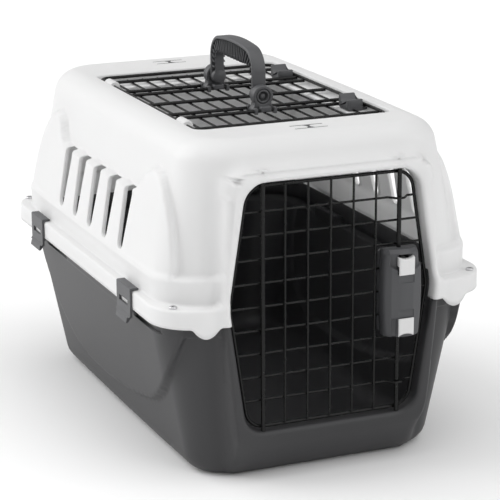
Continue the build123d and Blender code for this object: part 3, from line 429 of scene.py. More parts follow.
def build_upper_skin():
    """Upper shell as one closed wall: an outer and an inner surface found by rays onto the shell's field, joined
    round the doorway, the vents, the roof opening and the skirt."""
    s = bpy.context.scene.carrier_shell
    wall = mm(s.wall)
    skin = Skin()
    flat_x, flat_y = CORE_X - CORE_R, CORE_Y - CORE_R
    edge = (DOOR_BLOCK_X + flat_x) / (2 * flat_x)
    front = np.concatenate(([0.0], spread([1 - edge, edge], [76]), [edge]))
    vent_edges = TOP_Y + mm(s.vent_pitch) * (np.arange(VENTS + 1) - VENTS / 2)
    side_edges = (np.concatenate(([-flat_y], vent_edges, [flat_y])) + flat_y) / (2 * flat_y)
    side = spread(side_edges, [16] + [13] * VENTS + [20])
    fan_front, fan_rear = corner_places(upper_field, 42, 1), corner_places(upper_field, 38, 3)
    rear = np.linspace(0, 1, 44, endpoint=False)
    seg, t = columns(front, fan_front, side, fan_rear, rear)
    base, normal = core_ring(seg, t, -CORE_X, CORE_X, -CORE_Y, CORE_Y, CORE_R)
    rows = np.concatenate(([190, 193.5, 200, 205.5, 208, 209.4, 210.3, 210.8, 211.1, 211.5, 212.3, 213.4, 214.6,
                            218, 224, 230, 234], [236], np.linspace(237.5, 246, 8), np.linspace(249, 316.5, 25),
                           [319.5], np.linspace(323, ROOF_TURN_Z, 12)))
    tilt = np.radians((0.9, 1.8, 2.7, 3.6, 4.5, 5.5, 6.5, 8, 10, 13, 17, 22, 28, 35, 42, 49, 56, 63, 70, 77, 84, 90))
    jvent0, jvent1 = np.searchsorted(rows, VENT_BLOCK_Z)
    jdoor = len(rows) - 1
    levels = {}
    for layer, g in (("out", 0.0), ("in", -wall)):
        field = lambda p, g=g: upper_field(p, g)
        z = np.broadcast_to(rows[:, None], (len(rows), len(seg))).copy()
        probe = trace(field, ray_starts(base, normal, np.full(len(seg), SKIRT_Z)), ray_ways(normal), RAY_REACH)
        tab = skirt_tab(probe)
        depth = SKIRT_Z - z
        z = np.where(depth > 0, SKIRT_Z - depth * (10 + tab[None]) / 10, z)
        start = np.concatenate((np.broadcast_to(base + normal * 100, (len(rows), *base.shape)), z[..., None]), -1)
        walls = trace(field, start, -np.concatenate((normal, np.zeros((len(seg), 1))), -1)[None], 100)
        out = np.concatenate((normal[None] * np.cos(tilt)[:, None, None],
                              np.broadcast_to(np.sin(tilt)[:, None, None], (len(tilt), len(seg), 1))), -1)
        pivot = np.concatenate((base, np.full((len(seg), 1), ROOF_TURN_Z)), -1)[None]
        roof_edge = trace(field, pivot + out * 60, -out, 60)
        levels[layer] = np.concatenate((walls, roof_edge))
    out_index, in_index = skin.add(levels["out"]), skin.add(levels["in"])
    keep = np.ones((len(rows) + len(tilt) - 1, len(seg)), bool)
    door_cols = np.flatnonzero((seg == 0) & (t >= 1 - edge - 1e-6) & (t <= edge + 1e-6))
    keep[:jdoor, door_cols[:-1]] = False
    vents = []
    for which in (2, 6):
        place = t[seg == which]
        first = np.flatnonzero(seg == which)[0]
        for k in range(VENTS):
            lo, hi = side_edges[1 + k], side_edges[2 + k]
            if which == 6:
                lo, hi = 1 - hi, 1 - lo
            i0 = first + np.argmin(np.abs(place - lo))
            i1 = first + np.argmin(np.abs(place - hi))
            keep[jvent0:jvent1, i0:i1] = False
            vents.append((which, k, i0, i1))
    skin.quads(out_index, True, False, keep)
    skin.quads(in_index, True, True, keep)
    foot = np.stack((in_index[0], out_index[0]))
    skin.quads(foot, True, False, foot_keep(len(seg), door_cols))
    door_patch(skin, out_index, in_index, door_cols, jdoor, wall, True)
    for which, k, i0, i1 in vents:
        vent_patch(skin, out_index, in_index, i0, i1, jvent0, jvent1, vent_edges[k:k + 2], which, wall)
    roof_patch(skin, seg, t, out_index[-1], in_index[-1], wall)
    return skin


def foot_keep(count, door_cols):
    """Marks the quads of the seam's edge ring, without those across the doorway."""
    keep = np.ones((1, count), bool)
    keep[0, door_cols[:-1]] = False
    return keep


def ray_starts(base, normal, z):
    """Starts of level rays, out from the core at the heights z."""
    return np.concatenate((base + normal * RAY_REACH, z[:, None]), -1)


def ray_ways(normal):
    """Directions of level rays towards the core."""
    return -np.concatenate((normal, np.zeros((len(normal), 1))), -1)


def skirt_tab(points):
    """How far the skirt hangs lower at each column: a smooth tab at each side of the door and of the rear."""
    x, y = points[:, 0], points[:, 1]
    near = np.clip(np.abs(np.abs(x) - TAB_X) / TAB_HALF, 0, 1)
    middle = 11.5 - 5.0 * (near / 0.62) ** 2
    shoulder = 6.5 * (np.clip(1 - near, 0, 1) / 0.38) ** 1.7
    return np.where(np.abs(y) > 240, np.where(near < 0.62, middle, shoulder), 0)


def corner_places(field, count, which):
    """Fan places that give even steps along the shell's corner at mid height."""
    t = np.linspace(0, 1, 200)
    seg = np.full(200, which)
    base, normal = core_ring(seg, t, -CORE_X, CORE_X, -CORE_Y, CORE_Y, CORE_R)
    hit = trace(lambda p: field(p, 0.0), ray_starts(base, normal, np.full(200, 225.0)), ray_ways(normal), RAY_REACH)
    steps = np.linalg.norm(np.diff(hit, axis=0), axis=1)
    length = np.concatenate(([0], np.cumsum(steps)))
    return np.interp(np.linspace(0, length[-1], count, endpoint=False), length, t)


def door_patch(skin, out_index, in_index, cols, row, wall, high):
    """Fills the front between the main grid and the doorway: front face, rounded rim, jamb and back to the inside."""
    left = out_index[:row + 1, cols[0]]
    top = out_index[row, cols[1:-1]]
    right = out_index[:row + 1, cols[-1]][::-1]
    outer_border = np.concatenate((left, top, right))
    inner_border = np.concatenate((in_index[:row + 1, cols[0]], in_index[row, cols[1:-1]],
                                   in_index[:row + 1, cols[-1]][::-1]))
    points = np.concatenate(skin.points)
    outer_xz, inner_xz = points[outer_border][:, [0, 2]], points[inner_border][:, [0, 2]]
    rim = mm(bpy.context.scene.carrier_shell.rim_radius)
    path = doorway_path(high, len(left), len(top), outer_xz)

    def moved(amount):
        grown = grow_path(path, amount)
        grown[[0, -1], 1] = path[[0, -1], 1]
        return grown
    side = -1 if high else 1
    to = moved(side * rim)
    mids = blend_rings(outer_xz, to, [0.12, 0.28, 0.45, 0.62, 0.78, 0.9, 1.0])
    out = front_points(mids, 0.0, high)
    parts = [out]
    y0 = out[-1][:, 1]
    for angle in np.radians((18, 36, 54, 72, 90)):
        flat = moved(side * rim * (1 - math.sin(angle)))
        parts.append(np.stack((flat[:, 0], y0 + rim * (1 - math.cos(angle)), flat[:, 1]), -1)[None])
    back_y = FRONT_Y + JAMB_DEPTH
    for y, amount in ((back_y - 9, 0), (back_y - 0.8, 0), (back_y, 0.8), (back_y, wall - 0.8), (back_y - 0.8, wall)):
        flat = moved(side * amount)
        parts.append(np.stack((flat[:, 0], np.full(len(flat), y), flat[:, 1]), -1)[None])
    near = moved(side * wall)
    inner = front_points(blend_rings(near, inner_xz, [0.0, 0.15, 0.4, 0.65, 0.85]), -wall, high)
    parts.append(inner)
    rings = skin.add(np.concatenate(parts))
    whole = np.concatenate((outer_border[None], rings, inner_border[None]))
    skin.quads(whole, False, high)
    skin.cap(whole[:, 0], high)
    skin.cap(whole[:, -1], not high)


def front_points(xz, g, high):
    """Points of the shell's front at given (x, z)."""
    field = upper_field if high else lower_field
    start = np.stack((xz[..., 0], np.full(xz.shape[:-1], BEFORE_FRONT), xz[..., 1]), -1)
    return trace(lambda p: field(p, g), start, np.array((0.0, 1.0, 0.0)), 90)


def doorway_path(high, sides, across, border):
    """Doorway edge in (x, z), from its left foot over the far side to its right foot, matched to the border."""
    z_end = SEAM_Z if high else SEAM_Z - SEAM_GAP
    loop = door_outline(JAMB_GAP, 24)
    dense = along(np.concatenate((loop, loop[:1])), np.linspace(0, 1, 2000, endpoint=False))
    x, z = dense[:, 0], dense[:, 1]
    part = dense[z > z_end] if high else dense[z < z_end]
    order = np.argsort(np.arctan2(part[:, 0], (part[:, 1] - z_end) * (1 if high else -1)))
    part = part[order]
    half = np.interp(z_end, *sorted_half(dense))
    part = np.concatenate(([(-half, z_end)], part, [(half, z_end)]))
    corner_x = DOOR_END_HALF + JAMB_GAP - 0.29 * (22 + JAMB_GAP)
    a = np.argmin(np.abs(part[:len(part) // 2, 0] + corner_x) + 100 * (np.abs(part[:len(part) // 2, 1] - z_end) < 60))
    b = len(part) - 1 - a
    legs = np.linalg.norm(np.diff(border[:sides], axis=0), axis=1)
    share = np.concatenate(([0], np.cumsum(legs))) / legs.sum()
    first = along(part[:a + 1], share)
    middle = along(part[a:b + 1], np.linspace(0, 1, across + 2))[1:-1]
    last = first[::-1] * (-1, 1)
    return np.concatenate((first, middle, last))


def sorted_half(dense):
    """Heights and half widths along the right side of the doorway, by height."""
    right = dense[(dense[:, 0] > 60)]
    right = right[np.argsort(right[:, 1])]
    return right[:, 1], right[:, 0]


def vent_patch(skin, out_index, in_index, i0, i1, j0, j1, edges, which, wall):
    """Fills one vent's block: outer face, rounded edge, the slot's wall, and the inner face."""
    sign = 1 if which == 2 else -1

    def border(index):
        foot, up = index[j0, i0:i1], index[j0:j1, i1]
        top, down = index[j1, i0 + 1:i1 + 1][::-1], index[j0 + 1:j1 + 1, i0][::-1]
        return np.concatenate((foot, up, top, down))
    outer_border, inner_border = border(out_index), border(in_index)
    points = np.concatenate(skin.points)
    outer_yz, inner_yz = points[outer_border][:, 1:], points[inner_border][:, 1:]
    y = (edges[0] + edges[1]) / 2
    counts = [i1 - i0, j1 - j0, i1 - i0, j1 - j0]
    path = match_quarters(vent_outline(y), [6, 18, 30, 42], counts)
    if which == 6:
        path = path * (-1, 1) + (2 * y, 0)
    rim = 1.3
    to = grow_path(path, sign * rim, True)
    rings = blend_rings(outer_yz, to, [0.2, 0.42, 0.65, 0.85, 1.0])
    out = side_points(rings, 0.0, sign)
    parts = [out]
    x0 = out[-1][:, 0]
    for angle in np.radians((30, 60, 90)):
        flat = grow_path(path, sign * rim * (1 - math.sin(angle)), True)
        parts.append(np.stack((x0 - sign * rim * (1 - math.cos(angle)), flat[:, 0], flat[:, 1]), -1)[None])
    lip = grow_path(path, sign * 1.6, True)
    for flat, depth in ((path, 2.5), (path, 4.8), (grow_path(path, sign * 0.5, True), 5.3),
                        (grow_path(path, sign * 1.2, True), 5.3), (lip, 4.8)):
        parts.append(np.stack((x0 - sign * depth, flat[:, 0], flat[:, 1]), -1)[None])
    inner = side_points(blend_rings(lip, inner_yz, [0.0, 0.12, 0.4, 0.7]), -wall, sign)
    parts.append(inner)
    index = skin.add(np.concatenate(parts))
    whole = np.concatenate((outer_border[None], index, inner_border[None]))
    skin.quads(whole, True, False)


def side_points(yz, g, sign):
    """Points of the upper shell's side wall at given (y, z)."""
    start = np.concatenate((np.full(yz.shape[:-1], sign * BESIDE_WALL)[..., None], yz), -1)
    return trace(lambda p: upper_field(p, g), start, np.array((-sign * 1.0, 0.0, 0.0)), 75)


def roof_patch(skin, seg, t, outer_ring, inner_ring, wall):
    """Fills the roof: flat border, rounded edge of the recess, its wall, the ledge, and back underneath."""
    def ring_at(box, grow, z):
        x0, x1, y0, y1, corner = box
        xy, _ = core_ring(seg, t, x0 - grow, x1 + grow, y0 - grow, y1 + grow, corner + grow)
        return np.concatenate((xy, np.full((len(seg), 1), z)), -1)

    def recess(grow, z):
        return ring_at(RECESS, grow, z)

    def hole(grow, z):
        return ring_at(ROOF_HOLE, grow, z)

    def from_above(xy, g):
        start = np.concatenate((xy, np.full((*xy.shape[:-1], 1), ABOVE_ROOF)), -1)
        return trace(lambda p: upper_field(p, g), start, np.array((0.0, 0.0, -1.0)), 60)
    points = np.concatenate(skin.points)
    outer = points[outer_ring]
    inner = points[inner_ring]
    edge = 2.0
    to = recess(edge, ROOF_Z)
    flat = blend_rings(outer[:, :2], to[:, :2], [0.2, 0.4, 0.6, 0.8, 0.92, 1.0])
    top = from_above(flat, 0.0)
    parts = [top]
    z0 = top[-1][:, 2]
    for angle in np.radians((30, 60, 90)):
        ring = recess(edge * (1 - math.sin(angle)), 0)
        ring[:, 2] = z0 - edge * (1 - math.cos(angle))
        parts.append(ring[None])
    parts.append(recess(0, LEDGE_Z + 1.6)[None])
    parts.append(recess(-0.5, LEDGE_Z + 0.5)[None])
    parts.append(recess(-1.6, LEDGE_Z)[None])
    a, b = recess(-1.6, LEDGE_Z), hole(1.2, LEDGE_Z)
    parts.append(blend_rings(a, b, [0.5, 1.0]))
    parts.append(hole(0.35, LEDGE_Z - 0.35)[None])
    parts.append(hole(0, LEDGE_Z - 1.2)[None])
    parts.append(hole(0, LEDGE_Z - wall)[None])
    parts.append(recess(wall, LEDGE_Z - wall)[None])
    shoulder = recess(wall, 0)[:, :2]
    parts += [from_above(shoulder, -wall)[None], from_above(blend_rings(shoulder, inner[:, :2], [0.4, 0.75]), -wall)]
    index = skin.add(np.concatenate(parts))
    whole = np.concatenate((outer_ring[None], index, inner_ring[None]))
    skin.quads(whole, True, False)


def build_lugs():
    """Two half-round lugs that hold the roof door's left frame wire."""
    t = np.radians(np.linspace(-8, 188, 30))
    arch = np.column_stack((TOP_FRAME_Z + 6.5 * np.sin(t), -115.8 + 6.5 * np.cos(t)))
    outline = np.concatenate((arch, [(LEDGE_Z - 0.6, -122.3), (LEDGE_Z - 0.6, -109.3)]))
    return [prism(along(np.concatenate((outline, outline[:1])), np.linspace(0, 1, 60)[:-1])[::-1],
                  TOP_Y + way * 122 - 12, TOP_Y + way * 122 + 12, 1.6, along_y) for way in (-1, 1)]


def build_strap_slot_painted_shade():
    """Painted shade of the strap slots in the roof, one in front of the roof door and one behind: two thin lines and
    a waisted bar of dark plastic laid flush with the roof where the slots open; no slot is cut.
    """
    pieces = []
    for x, y, turn in ((0, -214, 1), (-3, 210, -1)):
        for way in (-1, 1):
            cy = y + way * 7.5
            pieces.append(block(x - 20, x + 20, cy - 0.8, cy + 0.8, ROOF_Z - 1.0, ROOF_Z + 0.15, 0.1, 0.7))
        waist = np.array([(-5, -7), (5, -7), (1.8, -2), (1.8, 2), (5, 7), (-5, 7), (-1.8, 2), (-1.8, -2)])
        outline = along(np.concatenate((waist, waist[:1])), np.linspace(0, 1, 41)[:-1]) + (x, y)
        pieces.append(prism(outline, ROOF_Z - 1.0, ROOF_Z + 0.15, 0.1, along_z))
    return gather(pieces)


def build_top_latch(side):
    """A saddle-shaped slide: low block at its front end, hollow back, a horn at its rear end, and a tongue."""
    y = TOP_Y + side * 99.5
    saddle = np.array([(-12.5, 378.2), (12.5, 378.2), (12.8, 393.2), (9.6, 393.6), (6.0, 388.4), (2.0, 385.6),
                       (-2.5, 385.0), (-6.5, 386.2), (-8.6, 389.6), (-12.4, 390.2)])
    outline = rounded_outline(saddle, [1.2, 1.2, 1.0, 1.2, 3, 4, 4, 2.5, 1.2, 1.5], 5) + (y, 0)
    foot = block(93.5, 112.4, y - 12.3, y + 12.3, 376.5, 379.5, 0.8, 1.6)
    tongue = block(110, 120.4, y - 8, y + 8, 376.5, 379.9, 0.8, 1.2)
    grip = block(95.5, 110.5, y - 12.9, y - 12.0, 380.5, 388.0, 0.3, 0.4)
    return gather([prism(outline, 92.4, 112.4, 1.4, along_x), foot, tongue, grip])


def build_rim():
    """Upright rim inside the seam: a wall 2.6 mm thick on the lower shell's inner face, open at the doorway, whose
    ends rise beside the doorway as two tongues."""
    s = bpy.context.scene.carrier_shell
    place = np.linspace(0, 1, 60, endpoint=False)
    seg, t = columns(place, place[::3], place, place[::3], place)
    order = np.roll(np.arange(len(seg)), -30)
    seg, t = seg[order], t[order]
    base, normal = core_ring(seg, t, -CORE_X, CORE_X, -CORE_Y, CORE_Y, CORE_R)
    wall = trace(lambda p: lower_field(p, -mm(s.wall)), ray_starts(base, normal, np.full(len(seg), 184.0)),
                 ray_ways(normal), 110)
    keep = ~((wall[:, 1] < -200) & (np.abs(wall[:, 0]) < 131))
    start = np.flatnonzero(keep & ~np.roll(keep, 1))[0]
    count = keep.sum()
    path = wall[(start + np.arange(count)) % len(wall)][:, :2]
    profile = np.array([(0.6, 182), (-0.2, 182), (-0.2, 190), (-0.2, 204.6), (0.3, 205.6), (1.2, 206), (1.9, 205.6),
                        (2.4, 204.6), (2.4, 192), (2.0, 182)])
    points = np.stack([np.column_stack((grow_path(path, inset), np.full(count, z))) for inset, z in profile])
    index = np.arange(points.size // 3).reshape(points.shape[:2])
    pieces = [(points.reshape(-1, 3), [grid_faces(np.concatenate((index, index[:1]))),
                                       index[:, :1].T, index[::-1, -1:].T])]
    for side in (-1, 1):
        pieces.append(jamb_tongue(side))
    return gather(pieces)


def jamb_tongue(side):
    """A tapered strip that rises from the lower shell beside the doorway."""
    z = np.concatenate((np.linspace(176, 238, 12), [240, 241.4, 242]))
    inset = np.concatenate((np.zeros(12), [0.3, 1.0, 2.2]))
    half = np.interp(z, (176, 206, 242), (123.2, 124.2, 123.4)) - 0.2
    y0, y1 = -272.0 + inset, -250.5 - inset
    x0, x1 = side * (half - 1.6 + inset * 0.3), side * (half + 1.0 - inset * 0.3)
    ring = np.stack([np.column_stack((x, y, z)) for x, y in ((x0, y0), (x0, y1), (x1, y1), (x1, y0))], 1)
    index = np.arange(ring.size // 3).reshape(ring.shape[:2])
    faces = [grid_faces(index, True), index[:1, ::-1], index[-1:]]
    return ring.reshape(-1, 3), faces


def build_lower_skin():
    """Lower shell as one closed wall, open at the top, with the doorway's foot cut into its front."""
    s = bpy.context.scene.carrier_shell
    wall = mm(s.wall)
    skin = Skin()
    top_z = SEAM_Z - SEAM_GAP
    rows = np.concatenate(([top_z, 186, 182, 178, 176, 175, 174.3, 173.7, 173, 172, 170.5, 168],
                           np.linspace(164, 44, 34), np.linspace(40.5, 30, 4)))
    jdoor = np.searchsorted(-rows, -44 - 1e-6)
    flat_x = CORE_X - CORE_R
    edge = (DOOR_BLOCK_X + flat_x) / (2 * flat_x)
    front = np.concatenate(([0.0], spread([1 - edge, edge], [40]), [edge]))
    side = np.linspace(0, 1, 96, endpoint=False)
    fan_front, fan_rear = corner_places(lower_field, 40, 1), corner_places(lower_field, 34, 3)
    rear = np.linspace(0, 1, 40, endpoint=False)
    seg, t = columns(front, fan_front, side, fan_rear, rear)
    tilt = np.radians(np.concatenate((np.linspace(-8, -80, 9), [-90])))

    def core_at(z):
        k = z / SEAM_Z
        return 124.0 + 26.0 * k, 200.0 + 15.0 * k
    levels = {}
    for layer, g in (("out", 0.0), ("in", -wall)):
        field = lambda p, g=g: lower_field(p, g)
        starts = []
        for z in rows:
            cx, cy = core_at(z)
            base, normal = core_ring(seg, t, -cx, cx, -cy, cy, CORE_R)
            starts.append(np.concatenate((base + normal * 110, np.full((len(seg), 1), z)), -1))
        ways = np.broadcast_to(ray_ways(normal)[None], (len(rows), len(seg), 3))
        walls = trace(field, np.stack(starts), ways, 110)
        out = np.concatenate((normal[None] * np.cos(tilt)[:, None, None],
                              np.broadcast_to(np.sin(tilt)[:, None, None], (len(tilt), len(seg), 1))), -1)
        pivot = np.concatenate((base, np.full((len(seg), 1), rows[-1])), -1)[None]
        foot = trace(field, pivot + out * 80, -out, 80)
        cx, cy = core_at(rows[-1])
        rings = []
        for k in (0.85, 0.65, 0.4, 0.15):
            xy, _ = core_ring(seg, t, -cx * k, cx * k, -cy * k, cy * k, CORE_R * k)
            rings.append(np.concatenate((xy, np.full((len(seg), 1), -g)), -1))
        levels[layer] = np.concatenate((walls, foot, np.stack(rings)))
    out_index, in_index = skin.add(levels["out"]), skin.add(levels["in"])
    centre_out, centre_in = skin.add(np.array([[0, 0, 0.0]])), skin.add(np.array([[0, 0, wall]]))
    door_cols = np.flatnonzero((seg == 0) & (t >= 1 - edge - 1e-6) & (t <= edge + 1e-6))
    keep = np.ones((len(out_index) - 1, len(seg)), bool)
    keep[:jdoor, door_cols[:-1]] = False
    skin.quads(out_index, True, True, keep)
    skin.quads(in_index, True, False, keep)
    skin.fan(out_index[-1], centre_out[0], True)
    skin.fan(in_index[-1], centre_in[0], False)
    rim = np.stack((in_index[0], out_index[0]))
    skin.quads(rim, True, True, foot_keep(len(seg), door_cols))
    door_patch(skin, out_index, in_index, door_cols, jdoor, wall, False)
    return skin


# ---------------------------------------------------------------- closed pieces

def outward(points, faces):
    """A closed piece's faces, turned so that they enclose a positive volume."""
    volume = 0
    for rows in faces:
        a = points[rows[:, :1]]
        b, c = points[rows[:, 1:-1]], points[rows[:, 2:]]
        volume += (a * np.cross(b, c)).sum()
    return faces if volume > 0 else [rows[:, ::-1] for rows in faces]


def gather(pieces):
    """Several closed pieces as one list of points and faces."""
    points, faces, count = [], [], 0
    for piece_points, piece_faces in pieces:
        piece_faces = outward(piece_points, piece_faces)
        points.append(piece_points)
        faces += [f + count for f in piece_faces]
        count += len(piece_points)
    return np.concatenate(points), faces


def prism(outline, lo, hi, r, place, steps=3):
    """A closed plane outline, counter-clockwise, drawn out from lo to hi with both edges rounded to r. place turns
    (outline point, height) into space."""
    rings = []
    for angle in np.linspace(0, math.pi / 2, steps + 1):
        rings.append((r * (1 - math.sin(angle)), lo + r * (1 - math.cos(angle))))
    rings += [(inset, lo + hi - height) for inset, height in reversed(rings)]
    points = np.stack([place(grow_path(outline, -inset, True), height) for inset, height in rings])
    index = np.arange(points.size // 3).reshape(points.shape[:2])
    return points.reshape(-1, 3), [grid_faces(index, True), index[:1, ::-1], index[-1:]]


def holed_prism(outer, inner, lo, hi, r, place, steps=3):
    """A plate between two matching closed outlines, drawn out from lo to hi with rounded edges."""
    rings = []
    for path, way in ((outer, -1), (inner, 1)):
        run = [(way * r * (1 - math.sin(a)), lo + r * (1 - math.cos(a)))
               for a in np.linspace(0, math.pi / 2, steps + 1)]
        run += [(inset, lo + hi - height) for inset, height in reversed(run)]
        run = run if way < 0 else run[::-1]
        rings += [place(grow_path(path, inset, True), height) for inset, height in run]
    points = np.stack(rings)
    index = np.arange(points.size // 3).reshape(points.shape[:2])
    return points.reshape(-1, 3), [grid_faces(np.concatenate((index, index[:1])), True)]


def lathe(profile, place, sides=40):
    """A closed profile of (radius, height) points turned about an axis; place turns (x, y, height) into space."""
    turn = np.linspace(0, 2 * math.pi, sides, endpoint=False)
    profile = np.asarray(profile, float)
    x = profile[:, :1] * np.cos(turn)
    y = profile[:, :1] * np.sin(turn)
    points = place(x, y, np.broadcast_to(profile[:, 1:], x.shape))
    index = np.arange(points.size // 3).reshape(x.shape)
    return points.reshape(-1, 3), [grid_faces(index, True), index[:1, ::-1], index[-1:]]


def along_x(outline, height):
    """An outline in (y, z) at the given x."""
    return np.column_stack((np.full(len(outline), height), outline))


def along_y(outline, height):
    """An outline in (z, x) at the given y."""
    return np.column_stack((outline[:, 1], np.full(len(outline), height), outline[:, 0]))


def along_z(outline, height):
    """An outline in (x, y) at the given z."""
    return np.column_stack((outline, np.full(len(outline), height)))


def block(x0, x1, y0, y1, z0, z1, r, corner=None):
    """A rounded block, drawn out along z."""
    corner = r if corner is None else corner
    outline = rounded_outline([(x0, y0), (x1, y0), (x1, y1), (x0, y1)], [corner] * 4, 5)
    return prism(outline, z0, z1, r, along_z)


# ---------------------------------------------------------------- handle, brackets and latch

PIVOT_Z = 395.9
HANDLE_REACH = 66.1
HANDLE_CREST = 451.9


def arc_through(a, b, c, steps=16):
    """Points of the circular arc from a through b to c."""
    (ax, ay), (bx, by), (cx, cy) = a, b, c
    d = 2 * (ax * (by - cy) + bx * (cy - ay) + cx * (ay - by))
    ux = ((ax**2 + ay**2) * (by - cy) + (bx**2 + by**2) * (cy - ay) + (cx**2 + cy**2) * (ay - by)) / d
    uy = ((ax**2 + ay**2) * (cx - bx) + (bx**2 + by**2) * (ax - cx) + (cx**2 + cy**2) * (bx - ax)) / d
    t0, t1, t2 = (math.atan2(y - uy, x - ux) for x, y in (a, b, c))
    r = math.hypot(ax - ux, ay - uy)
    sweep = (t2 - t0) % (2 * math.pi)
    if (t1 - t0) % (2 * math.pi) > sweep:
        sweep -= 2 * math.pi
    t = t0 + sweep * np.linspace(0, 1, steps)
    return np.column_stack((ux + r * np.cos(t), uy + r * np.sin(t)))


def handle_edges(count):
    """Matching points on the handle's outer and inner edge, from its front foot over the crest to its rear foot."""
    reach, crest, c = HANDLE_REACH, HANDLE_CREST, TOP_Y
    outer = np.concatenate((
        [(c - reach, PIVOT_Z), (c - reach, crest - 28)],
        arc_through((c - reach, crest - 28), (c - reach + 7, crest - 12), (c - reach + 24, crest - 3))[1:],
        arc_through((c - reach + 24, crest - 3), (c, crest), (c + reach - 24, crest - 3), 30)[1:],
        arc_through((c + reach - 24, crest - 3), (c + reach - 7, crest - 12), (c + reach, crest - 28))[1:],
        [(c + reach, PIVOT_Z)]))
    leg, top = 11.0, 428.5
    inner = np.concatenate((
        [(c - reach + leg, PIVOT_Z), (c - reach + leg, top - 9)],
        arc_through((c - reach + leg, top - 9), (c - reach + leg + 2.6, top - 2.6), (c - reach + leg + 9, top))[1:],
        arc_through((c + reach - leg - 9, top), (c + reach - leg - 2.6, top - 2.6), (c + reach - leg, top - 9)),
        [(c + reach - leg, PIVOT_Z)]))
    share = np.linspace(0, 1, count)
    outer, inner = along(outer, share), along(inner, share)
    grip = (np.abs(inner[:, 0] - c) < reach - leg - 12)
    wave = np.abs(np.sin(math.pi * (inner[:, 0] - c + reach) / 9.2))
    inner[:, 1] -= np.where(grip, 1.6 * wave - 0.4, 0)
    return outer, inner


def band_along(near, far, half, r, steps=5):
    """Bar between two matching open paths in (y, z), half wide each way in x, with its four edges rounded to r."""
    turn = np.linspace(0, math.pi / 2, steps)
    x = np.concatenate([np.cos(turn + k * math.pi / 2) for k in range(4)])
    w = np.concatenate([np.sin(turn + k * math.pi / 2) for k in range(4)])
    sx, sw = np.repeat((1, -1, -1, 1), steps), np.repeat((1, 1, -1, -1), steps)
    way = far - near
    size = np.linalg.norm(way, axis=1)[:, None]
    share = 0.5 + (sw * (size / 2 - r) + r * w) / size
    points = near[:, None] + way[:, None] * share[..., None]
    points = np.concatenate((np.broadcast_to(sx * (half - r) + r * x, share.shape)[..., None], points), -1)
    index = np.arange(share.size).reshape(share.shape)
    return points.reshape(-1, 3), [grid_faces(index, True), index[:1, ::-1], index[-1:]]


def build_handle():
    """Outer band, thin middle web, inner band, cross ribs on both sides, and round heels with stubs."""
    outer, inner = handle_edges(241)
    inward = inner - outer
    inward /= np.linalg.norm(inward, axis=1, keepdims=True)
    pieces = [band_along(outer + inward * 4.4, outer, 8.5, 1.4),
              band_along(inner, inner - inward * 2.2, 5.6, 0.9),
              band_along(inner - inward * 0.5, outer + inward * 3, 2.0, 0.3)]
    for k in np.concatenate((np.linspace(16, 66, 7), np.linspace(75, 165, 15), np.linspace(174, 224, 7))).astype(int):
        side = np.array((-inward[k, 1], inward[k, 0])) * 0.8
        a, b = outer[k] + inward[k] * 2.5, inner[k] - inward[k] * 0.3
        rib = np.array([a + side, a - side, b - side, b + side])
        pieces.append(prism(along(np.concatenate((rib, rib[:1])), np.linspace(0, 1, 9)[:-1]), -7.4, 7.4, 0.4,
                            along_x, 2))
    for way in (-1, 1):
        place = lambda x, y, h, way=way: np.stack((way * x, TOP_Y + way * h, PIVOT_Z + y), -1)
        heel = [(0.01, 54.9), (7.3, 54.9), (8.5, 56.0), (8.5, 65.2), (7.6, 66.2), (0.01, 66.2)]
        stub = [(0.01, 66.0), (8.2, 66.0), (8.2, 77.6), (7.6, 78.4), (6.2, 78.4), (5.8, 78.0), (5.6, 72), (3.4, 72),
                (3.2, 76.2), (2.6, 76.8), (0.01, 76.8)]
        pieces += [lathe(heel, place), lathe(stub, place)]
    return gather(pieces)


def polar(outline, count):
    """Radius of a star-shaped outline about the origin at even angles, as points."""
    closed = along(np.concatenate((outline, outline[:1])), np.linspace(0, 1, 3000, endpoint=False))
    angle = np.arctan2(closed[:, 1], closed[:, 0])
    order = np.argsort(angle)
    t = np.linspace(-math.pi, math.pi, count, endpoint=False)
    radius = np.interp(t, angle[order], np.hypot(*closed[order].T), period=2 * math.pi)
    return np.column_stack((radius * np.cos(t), radius * np.sin(t)))


def build_bracket(side):
    """A ring on a flared foot over a pair of long wires, with a saddle clipped on both wires."""
    y = TOP_Y + side * 72.5
    t = np.radians(np.linspace(-32, 212, 60))
    top = np.column_stack((12.5 * np.cos(t), 12.5 * np.sin(t)))
    foot = rounded_outline([(-10.8, -7), (-10.8, -11.5), (-14.5, -13.5), (-14.5, -16.6), (14.5, -16.6),
                            (14.5, -13.5), (10.8, -11.5), (10.8, -7)], [1, 3, 1, 1, 1, 1, 3, 1], 6)
    outer = polar(np.concatenate((top, foot)), 160)
    t = np.linspace(-math.pi, math.pi, 160, endpoint=False)
    inner = np.column_stack((8.6 * np.cos(t), 8.6 * np.sin(t)))
    outer, inner = (path[::-1, ::-1] + (PIVOT_Z, 0) for path in (outer, inner))
    pieces = [holed_prism(outer, inner, y - 6, y + 6, 1.2, along_y)]
    pieces.append(block(-6.5, 6.5, y - 15.5, y + 15.5, 379.3, 385.4, 1.0, 2.0))
    for wire in (-11, 11):
        for x in (-12, 12):
            pieces.append(block(x - 2.2, x + 2.2, y + wire - 3.4, y + wire + 3.4, 376.6, 384.0, 0.9, 1.5))
    return gather(pieces)


def step_up(t):
    """Smooth step from 0 to 1."""
    t = np.clip(t, 0, 1)
    return t * t * (3 - 2 * t)


LATCH_FOOT, LATCH_TOP, LATCH_BACK_Y = 154.0, 254.0, -272.6
LATCH_Z, LATCH_HALF = 204, 22.5
BUTTON_FRONT_Y, BUTTON_BACK_Y, BUTTON_DEEP_Y = -298.6, -296.9, -292.0


def latch_half(z):
    """Half width of the latch at height z."""
    return LATCH_HALF - 2.4 * ((z - LATCH_Z) / 50) ** 2


